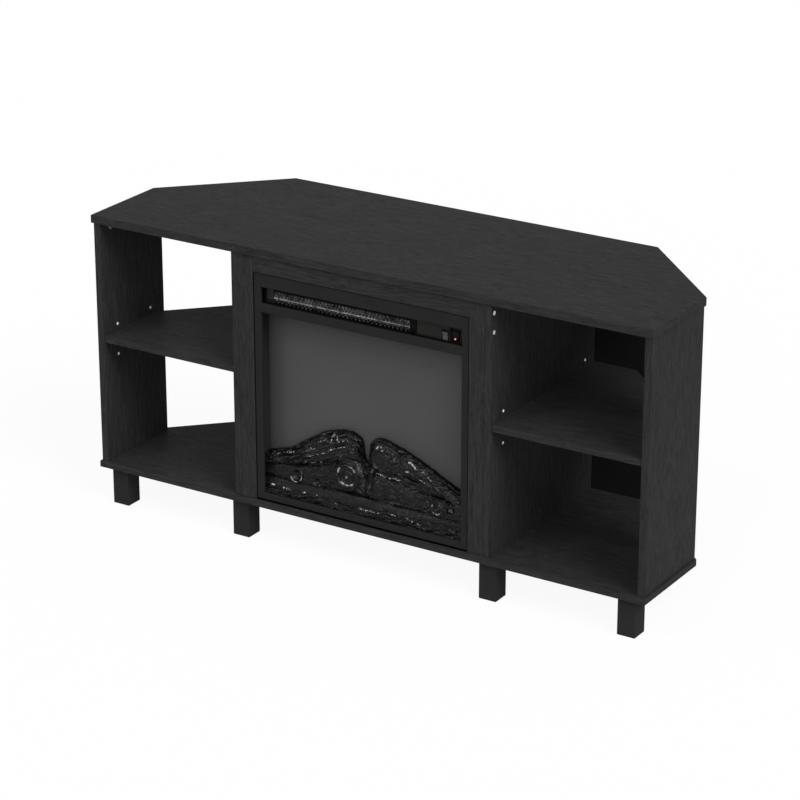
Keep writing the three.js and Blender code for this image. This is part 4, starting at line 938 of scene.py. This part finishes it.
# Ridges of ash and painted glint on the embers: up is a share of the lip's middle height
BED_RIDGE_SHARES = [
    ([(0.039, 0.912), (0.057, 0.896)], 1.0, 1.0),
    ([(0.101, 0.864), (0.125, 0.832), (0.141, 0.816)], 0.9, 0.9),
    ([(0.189, 0.912), (0.211, 0.88)], 0.85, 1.0),
    ([(0.266, 0.928), (0.297, 0.816)], 0.65, 0.8),
    ([(0.335, 0.848), (0.372, 0.624)], 0.65, 0.7),
    ([(0.394, 0.928), (0.412, 0.88)], 0.6, 0.6),
    ([(0.478, 0.752), (0.504, 0.704), (0.526, 0.736), (0.562, 0.72), (0.593, 0.816)], 0.85, 0.9),
    ([(0.632, 0.864), (0.65, 0.832)], 0.9, 1.0),
    ([(0.698, 0.928), (0.738, 0.778), (0.773, 0.624)], 0.6, 1.0),
    ([(0.782, 0.816), (0.804, 0.784)], 0.6, 0.5),
    ([(0.91, 0.816), (0.945, 0.704)], 0.75, 0.6),
]
BED_FINE_STEP = 0.0009
BED_COARSE_STEP = 0.004
BED_PLATES = (0.021, 0.0062, 1.5)
BED_FINE_PLATES = (0.0075, 0.0032, 1.6)
BED_COARSE_HEIGHT = 0.0028
BED_FINE_HEIGHT = 0.0012
BED_WAVE_SCALE = (45.0, 160.0)
BED_SEEDS = (21.0, 31.0, 6.0)
BED_SINK = 0.0022
BED_ROUGH = 0.4
BED_SMOOTH = 0.15
BED_SLANT = 0.6
LIP_WAVERS = ((0.0016, 32.0, 0.4, 9.0), (0.0008, 120.0, 4.4, 2.0))
ASH_AND_GLINT_DEPTH_SHARE = 0.83
EMBER_RELIEF = (0.45, 0.55)
CRACK_SHADE = 0.55
CRACK_RANGE = (0.25, 0.9)
SEAT_RELIEF = 0.3


def bed_section(lip_z):
    """Points of the bed's section, each with how rough it is."""
    floor_z = bed_low[Z]
    top_z = blend(lip_z + BED_CREST, floor_z + BED_TOP, BED_TOP_SHARE)
    levels = {"floor": floor_z, "lip": lip_z, "top": top_z, "seat": seat_z}
    return [
        (blend(relief_back, bed_low[Y], depth), levels[level] + rise * BED_CREST, rough)
        for depth, level, rise, rough in BED_SECTION_SHARES
    ]


def ember_point(x, start, end, share, ridges):
    """One point of the bed's surface, how pale its char is, and its ash with painted glint."""
    y, z, rough = (blend(a, b, share) for a, b in zip(start, end))
    length = math.hypot(end[0] - start[0], end[1] - start[1])
    forward, upward = abs(end[1] - start[1]) / length, abs(end[0] - start[0]) / length
    across = z - y * BED_SLANT
    coarse_seed, fine_seed, wave_seed = BED_SEEDS
    coarse, crack = plates(x, across, BED_PLATES, coarse_seed)
    fine, _ = plates(x, across, BED_FINE_PLATES, fine_seed)
    wave = noise_at(x, z - y, BED_WAVE_SCALE, wave_seed)
    out = rough * (BED_COARSE_HEIGHT * coarse + BED_FINE_HEIGHT * (fine + wave))
    in_front = y < blend(relief_back, bed_low[Y], ASH_AND_GLINT_DEPTH_SHARE)
    ash_and_glint = ridge_ash_and_glint(x, z, ridges) if rough > BED_ROUGH / 2 and in_front else 0.0
    if rough > BED_ROUGH:
        out = min(0.0, min(0.0, out - BED_SINK * rough) + ASH_AND_GLINT_RIDGE_HEIGHT * ash_and_glint)
    shade = blend(1.0, CRACK_SHADE * crack, smooth_step(*CRACK_RANGE, rough))
    relief = min(1.0, max(0.0, EMBER_RELIEF[0] + EMBER_RELIEF[1] * rough * coarse)) * shade
    return (x, max(bed_low[Y], y - forward * out), z + upward * out * BED_SLANT), relief, ash_and_glint


def make_bed():
    lip_middle = sum(BED_LIPS) / 2
    ridges = placed_ridges(BED_RIDGE_SHARES, bed_low[Z], bed_low[Z] + lip_middle)
    pattern = bed_section(bed_low[Z] + lip_middle)
    counts = []
    for start, end in zip(pattern, pattern[1:]):
        step = BED_FINE_STEP if start[2] + end[2] > BED_SMOOTH else BED_COARSE_STEP
        counts.append(max(1, round(math.hypot(end[0] - start[0], end[1] - start[1]) / step)))
    rows = sum(counts)
    points = []
    for i in range(BED_COLUMNS + 1):
        x = blend(room_left, room_right, i / BED_COLUMNS)
        lip_z = bed_low[Z] + blend(*BED_LIPS, i / BED_COLUMNS)
        for height, scale, seed_a, seed_b in LIP_WAVERS:
            lip_z += height * noise.noise(Vector((x * scale, seed_a, seed_b)))
        section = bed_section(lip_z)
        for start, end, count in zip(section, section[1:], counts):
            points += [ember_point(x, start, end, k / count, ridges) for k in range(count)]
        points.append(((x, *section[-1][:2]), SEAT_RELIEF, 0.0))
    faces = [face[::-1] for face in sheet_faces(BED_COLUMNS, rows)]
    for i in range(BED_COLUMNS):
        a, b = i * (rows + 1), (i + 1) * (rows + 1)
        faces.append((a, b, b + rows, a + rows))
    faces.append(tuple(range(rows + 1)))
    faces.append(tuple(range(len(points) - 1, len(points) - rows - 2, -1)))
    add_resin("embers", "ember_bed", points, faces)


BOX_BEVEL = 0.0004
SIGNS = (-1, 1)
SQUARE = ((-1, -1), (1, -1), (1, 1), (-1, 1))


def corner_of(axis, side, side_u, side_v):
    """Signs of a block's corner, given along one axis and then along the two that follow it."""
    corner = [side, side_u, side_v]
    return tuple(corner[(k - axis) % 3] for k in range(3))


def box_shape(low, high, bevel=BOX_BEVEL):
    """Points and faces of a block whose edges are all bevelled."""
    points = []
    index = {}
    centre = [(a + b) / 2 for a, b in zip(low, high)]
    half = [(b - a) / 2 for a, b in zip(low, high)]
    corners = [(sx, sy, sz) for sx in SIGNS for sy in SIGNS for sz in SIGNS]
    for corner in corners:
        for axis in range(3):
            inset = [half[k] - (0 if k == axis else bevel) for k in range(3)]
            index[(*corner, axis)] = len(points)
            points.append([centre[k] + corner[k] * inset[k] for k in range(3)])
    faces = []
    for axis in range(3):
        for side in SIGNS:
            ring = [index[(*corner_of(axis, side, *pair), axis)] for pair in SQUARE]
            faces.append(ring if side > 0 else ring[::-1])
            for other in SIGNS:
                low_end, high_end = (corner_of(axis, side, other, end) for end in SIGNS)
                after = (axis + 1) % 3
                places = ((low_end, axis), (low_end, after), (high_end, after), (high_end, axis))
                quad = [index[(*corner, k)] for corner, k in places]
                faces.append(quad if side * other > 0 else quad[::-1])
    for corner in corners:
        tri = [index[(*corner, axis)] for axis in range(3)]
        faces.append(tri if math.prod(corner) > 0 else tri[::-1])
    return points, faces


def border(outer, inner, y0, y1, bevel):
    """Four strips between an outer and an inner rectangle, each given by two (x, z) corners."""
    (x0, z0), (x1, z1) = outer
    (inner_x0, inner_z0), (inner_x1, inner_z1) = inner
    strips = [
        (x0, z0, x1, inner_z0), (x0, inner_z1, x1, z1),
        (x0, inner_z0, inner_x0, inner_z1), (inner_x1, inner_z0, x1, inner_z1),
    ]
    return [box_shape((low_x, y0, low_z), (high_x, y1, high_z), bevel)
            for low_x, low_z, high_x, high_z in strips]


# Near-black rubber trim that fills the gap between the bezel and the boards round it; it also stands in
# for the shadow in that gap
TRIM_LAP = 0.0009
TRIM_CLEARANCE = 0.0001
TRIM_PROUD = 0.0002
TRIM_DEPTH = 0.0015


def make_trim():
    (x0, y0, z0), (x1, _, z1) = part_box("insert_bezel")
    _, (left, _, _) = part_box("left_frame_stile")
    (right, _, _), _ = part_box("right_frame_stile")
    _, (_, _, below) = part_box("bottom_panel")
    (_, _, above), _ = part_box("frame_top_rail")
    outer = (
        (left + TRIM_CLEARANCE, below + TRIM_CLEARANCE), (right - TRIM_CLEARANCE, above - TRIM_CLEARANCE),
    )
    inner = ((x0 + TRIM_LAP, z0 + TRIM_LAP), (x1 - TRIM_LAP, z1 - TRIM_LAP))
    strips = border(outer, inner, y0 - TRIM_PROUD, y0 + TRIM_DEPTH, TRIM_CLEARANCE)
    add_piece("bezel_trim", strips, trim_and_gap_shadow, "black_steel")


# Heater seen through the outlet: a tube between two rows of folded foil, and two rails
LOW_RAIL_HEIGHT = 0.0015
HIGH_RAIL_HEIGHT = 0.0026
TUBE_LIFT = 0.0097
TUBE_HEIGHT = 0.0025
TUBE_GAP = 0.0007
LOW_FIN_PITCH = 0.009
HIGH_FIN_PITCH = 0.0074
FIN_SETBACK = 0.0006
FOIL_THICKNESS = 0.0005
FOIL_SWAY = 0.0006
FOIL_SWAY_SCALE = (210.0, 90.0)
FOIL_SWAY_SEED = 0.7


def folded_foil(x0, x1, y0, y1, z0, z1, pitch):
    """A foil strip folded up and down between two rails."""
    folds = max(2, round((x1 - x0) / pitch * 2))
    points = []
    polygons = []
    for k in range(folds + 1):
        x = blend(x0, x1, k / folds)
        x += FOIL_SWAY * noise_at(x, z0, FOIL_SWAY_SCALE, FOIL_SWAY_SEED)
        z = z1 if k % 2 else z0
        for y in (y0, y1):
            points.append((x - FOIL_THICKNESS / 2, y, z))
            points.append((x + FOIL_THICKNESS / 2, y, z))
    for k in range(folds):
        a, b = k * 4, (k + 1) * 4
        polygons += [(a, a + 2, b + 2, b), (a + 1, b + 1, b + 3, a + 3)]
        polygons += [(a, b, b + 1, a + 1), (a + 2, a + 3, b + 3, b + 2)]
    last = folds * 4
    polygons += [(0, 1, 3, 2), (last, last + 2, last + 3, last + 1)]
    return points, polygons


def make_heater():
    (x0, y0, z0), (x1, y1, z1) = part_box("heater_core")
    low_rail_top = z0 + LOW_RAIL_HEIGHT
    high_rail_base = z1 - HIGH_RAIL_HEIGHT
    tube_base = z0 + TUBE_LIFT
    tube_top = tube_base + TUBE_HEIGHT
    fin_front = y0 + FIN_SETBACK
    low_rail = box_shape((x0, y0, z0), (x1, y1, low_rail_top))
    high_rail = box_shape((x0, y0, high_rail_base), (x1, y1, z1))
    tube = box_shape((x0, y0, tube_base), (x1, y1, tube_top))
    low_fins = folded_foil(x0, x1, fin_front, y1, low_rail_top, tube_base - TUBE_GAP, LOW_FIN_PITCH)
    high_fins = folded_foil(x0, x1, fin_front, y1, tube_top, high_rail_base, HIGH_FIN_PITCH)
    add_piece("heater_rails", [low_rail, high_rail], rail_paint, "heater_fins")
    add_piece("heater_tube", [tube], tube_foil, "heater_fins")
    add_piece("heater_low_fins", [low_fins], tube_foil, "heater_fins")
    add_piece("heater_fins", [high_fins], fin_foil, "heater_fins", "heater_core")


# Outlet grille: a thin frame, two tilted slats and fine uprights behind them
GRILLE_EDGE = 0.0012
GRILLE_BEVEL = 0.0002
LOW_SLAT_LIFT = 0.0105
HIGH_SLAT_DROP = 0.004
SLAT_DEPTH = 0.002
SLAT_THICKNESS = 0.0007
SLAT_TILT = math.radians(25)
WIRE_HALF = 0.0003
WIRE_BEVEL = 0.0001
WIRE_COUNT = 11


def slat(x0, x1, middle_y, level):
    half_depth = SLAT_DEPTH / 2
    half_thickness = SLAT_THICKNESS / 2
    low = (x0, -half_depth, -half_thickness)
    high = (x1, half_depth, half_thickness)
    points, faces = box_shape(low, high, GRILLE_BEVEL)
    turn = Matrix.Rotation(SLAT_TILT, 3, "X")
    turned = [turn @ Vector(point) for point in points]
    return [(point.x, point.y + middle_y, point.z + level) for point in turned], faces


def make_grille():
    (x0, y0, z0), (x1, y1, z1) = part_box("outlet_grille")
    inner_x0, inner_x1 = x0 + GRILLE_EDGE, x1 - GRILLE_EDGE
    inner_z0, inner_z1 = z0 + GRILLE_EDGE, z1 - GRILLE_EDGE
    inner = ((inner_x0, inner_z0), (inner_x1, inner_z1))
    shapes = border(((x0, z0), (x1, z1)), inner, y0, y1, GRILLE_BEVEL)
    for level in (z0 + LOW_SLAT_LIFT, z1 - HIGH_SLAT_DROP):
        shapes.append(slat(inner_x0, inner_x1, (y0 + y1) / 2, level))
    wire_y = y1 - 2 * WIRE_HALF
    for k in range(1, WIRE_COUNT + 1):
        x = blend(x0, x1, k / (WIRE_COUNT + 1))
        low = (x - WIRE_HALF, wire_y - WIRE_HALF, inner_z0)
        high = (x + WIRE_HALF, wire_y + WIRE_HALF, inner_z1)
        shapes.append(box_shape(low, high, WIRE_BEVEL))
    add_piece("grille_blades", shapes, grille_paint, "black_steel", "outlet_grille")


ROUND_SIDES = 24


def turned_shape(section, centre, way, closed):
    """A section of (distance out of a face, radius) turned about an axis square to the face."""
    axis, sign = way
    u, v = (axis + 1) % 3, (axis + 2) % 3
    points = []
    for depth, radius in section:
        for side in range(ROUND_SIDES):
            angle = 2 * math.pi * side / ROUND_SIDES
            point = list(centre)
            point[axis] += sign * depth
            point[u] += radius * math.cos(angle)
            point[v] += radius * math.sin(angle)
            points.append(point)
    faces = []
    count = len(section)
    for k in range(count if closed else count - 1):
        for side in range(ROUND_SIDES):
            after = (side + 1) % ROUND_SIDES
            a, b = k * ROUND_SIDES, (k + 1) % count * ROUND_SIDES
            quad = (a + side, b + side, b + after, a + after)
            faces.append(quad if sign > 0 else quad[::-1])
    if not closed:
        first = tuple(range(ROUND_SIDES))
        last = tuple(range((count - 1) * ROUND_SIDES, count * ROUND_SIDES))
        faces.append(first if sign > 0 else first[::-1])
        faces.append(last[::-1] if sign > 0 else last)
    return points, faces


# Pale sleeves that line the free shelf pin holes, above and below each shelf pin
SLEEVE_BORE = 0.0014
SLEEVE_BARREL = 0.0023
SLEEVE_FLANGE = 0.0028
SLEEVE_RIM_SHARE = 0.9
SLEEVE_PROUD = 0.0005
SLEEVE_EDGE_SHARE = 0.6
SLEEVE_DEPTH = 0.006
SLEEVE_PITCH = 0.031


def pin_columns():
    """For each shelf pin: the face it enters, the way out into the bay, and the pin's middle."""
    for side, sign in (("left", 1), ("right", -1)):
        for place, panel, way in (("outer", "side_panel", sign), ("inner", "divider", -sign)):
            low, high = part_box(f"{side}_{panel}")
            face = high[X] if way > 0 else low[X]
            for end in ("front", "rear"):
                pin_low, pin_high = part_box(f"{side}_shelf_pin_{place}_{end}")
                yield face, way, (pin_low[Y] + pin_high[Y]) / 2, (pin_low[Z] + pin_high[Z]) / 2


def make_sleeves():
    section = [
        (-SLEEVE_DEPTH, SLEEVE_BORE), (-SLEEVE_DEPTH, SLEEVE_BARREL), (0.0, SLEEVE_BARREL),
        (0.0, SLEEVE_FLANGE), (SLEEVE_PROUD * SLEEVE_EDGE_SHARE, SLEEVE_FLANGE),
        (SLEEVE_PROUD, SLEEVE_FLANGE * SLEEVE_RIM_SHARE), (SLEEVE_PROUD, SLEEVE_BORE),
    ]
    shapes = []
    for face, way, y, z in pin_columns():
        for step in (-SLEEVE_PITCH, SLEEVE_PITCH):
            shapes.append(turned_shape(section, (face, y, z + step), (X, way), closed=True))
    add_piece("pin_hole_sleeves", shapes, sleeve_plastic, "fittings")


# Nails that hold the back panel along its four edges
NAIL_RADIUS = 0.0028
NAIL_PROUD = 0.0009
NAIL_SINK = 0.001
NAIL_CROWN_SHARES = [(0.0, 1.0), (0.5, 0.87), (0.87, 0.5), (1.0, 0.15)]
NAIL_INSET = 0.0085
NAIL_SPACING = 0.115


def make_nails():
    low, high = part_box("back_panel")
    x0, x1 = low[X] + NAIL_INSET, high[X] - NAIL_INSET
    z0, z1 = low[Z] + NAIL_INSET, high[Z] - NAIL_INSET
    section = [(-NAIL_SINK, NAIL_RADIUS)]
    section += [(rise * NAIL_PROUD, width * NAIL_RADIUS) for rise, width in NAIL_CROWN_SHARES]
    across = round((x1 - x0) / NAIL_SPACING)
    upwards = round((z1 - z0) / NAIL_SPACING)
    places = [(blend(x0, x1, k / across), z) for k in range(across + 1) for z in (z0, z1)]
    places += [(x, blend(z0, z1, k / upwards)) for k in range(1, upwards) for x in (x0, x1)]
    shapes = [turned_shape(section, (x, high[Y], z), (Y, 1), closed=False) for x, z in places]
    add_piece("back_panel_nails", shapes, nail_metal, "fittings")


def make_stage():
    corners = [(x * FLOOR_HALF, y * FLOOR_HALF, 0) for x, y in SQUARE]
    new_object("floor", corners, [(0, 1, 2, 3)], floor_finish())


def turn_back(item, direction):
    """Turn a lamp or camera so that its back points in the direction."""
    item.rotation_mode = "QUATERNION"
    item.rotation_quaternion = direction.to_track_quat("Z", "Y")


def make_lamp(name, direction, strength, angle):
    data = bpy.data.lights.new(name, "SUN")
    data.energy = strength
    data.angle = angle
    turn_back(link_new(name, data), Vector(direction))


def make_world():
    """White to the camera and in reflections, and a soft even sky for the light."""
    shader = Shader("studio", bpy.data.worlds, "OutputWorld")
    level = shader.calc("MULTIPLY_ADD", shader.seen_directly(), 1 - SKY_LEVEL, SKY_LEVEL)
    bpy.context.scene.world = shader.show("Background", Color=WHITE, Strength=level)


def make_camera():
    data = bpy.data.cameras.new("camera")
    data.lens = CAMERA_LENS
    data.clip_start = CAMERA_NEAR
    data.clip_end = CAMERA_FAR
    camera = link_new("camera", data)
    back = Vector((
        math.sin(CAMERA_AZIMUTH) * math.cos(CAMERA_ELEVATION),
        -math.cos(CAMERA_AZIMUTH) * math.cos(CAMERA_ELEVATION),
        math.sin(CAMERA_ELEVATION),
    ))
    camera.location = CAMERA_TARGET + back * CAMERA_DISTANCE
    turn_back(camera, back)
    bpy.context.scene.camera = camera


left_log = (LEFT_UPPER_SHARES, LEFT_LOWER_SHARES, LEFT_KNOT_SHARES, 3.0)
right_log = (RIGHT_UPPER_SHARES, RIGHT_LOWER_SHARES, RIGHT_KNOT_SHARES, 13.0)
make_log("left_log_relief", "left_log", left_log, LEFT_RIDGE_SHARES, room_left, -WALL_CLEARANCE)
make_log("right_log_relief", "right_log", right_log, RIGHT_RIDGE_SHARES, WALL_CLEARANCE, room_right)
make_bed()
make_trim()
make_heater()
make_grille()
make_sleeves()
make_nails()
make_stage()
make_lamp("side_sun", *SIDE_SUN)
make_lamp("front_sun", *FRONT_SUN)
make_lamp("spark_sun", *SPARK_SUN)
make_world()
make_camera()
bpy.context.scene.view_settings.view_transform = "Standard"
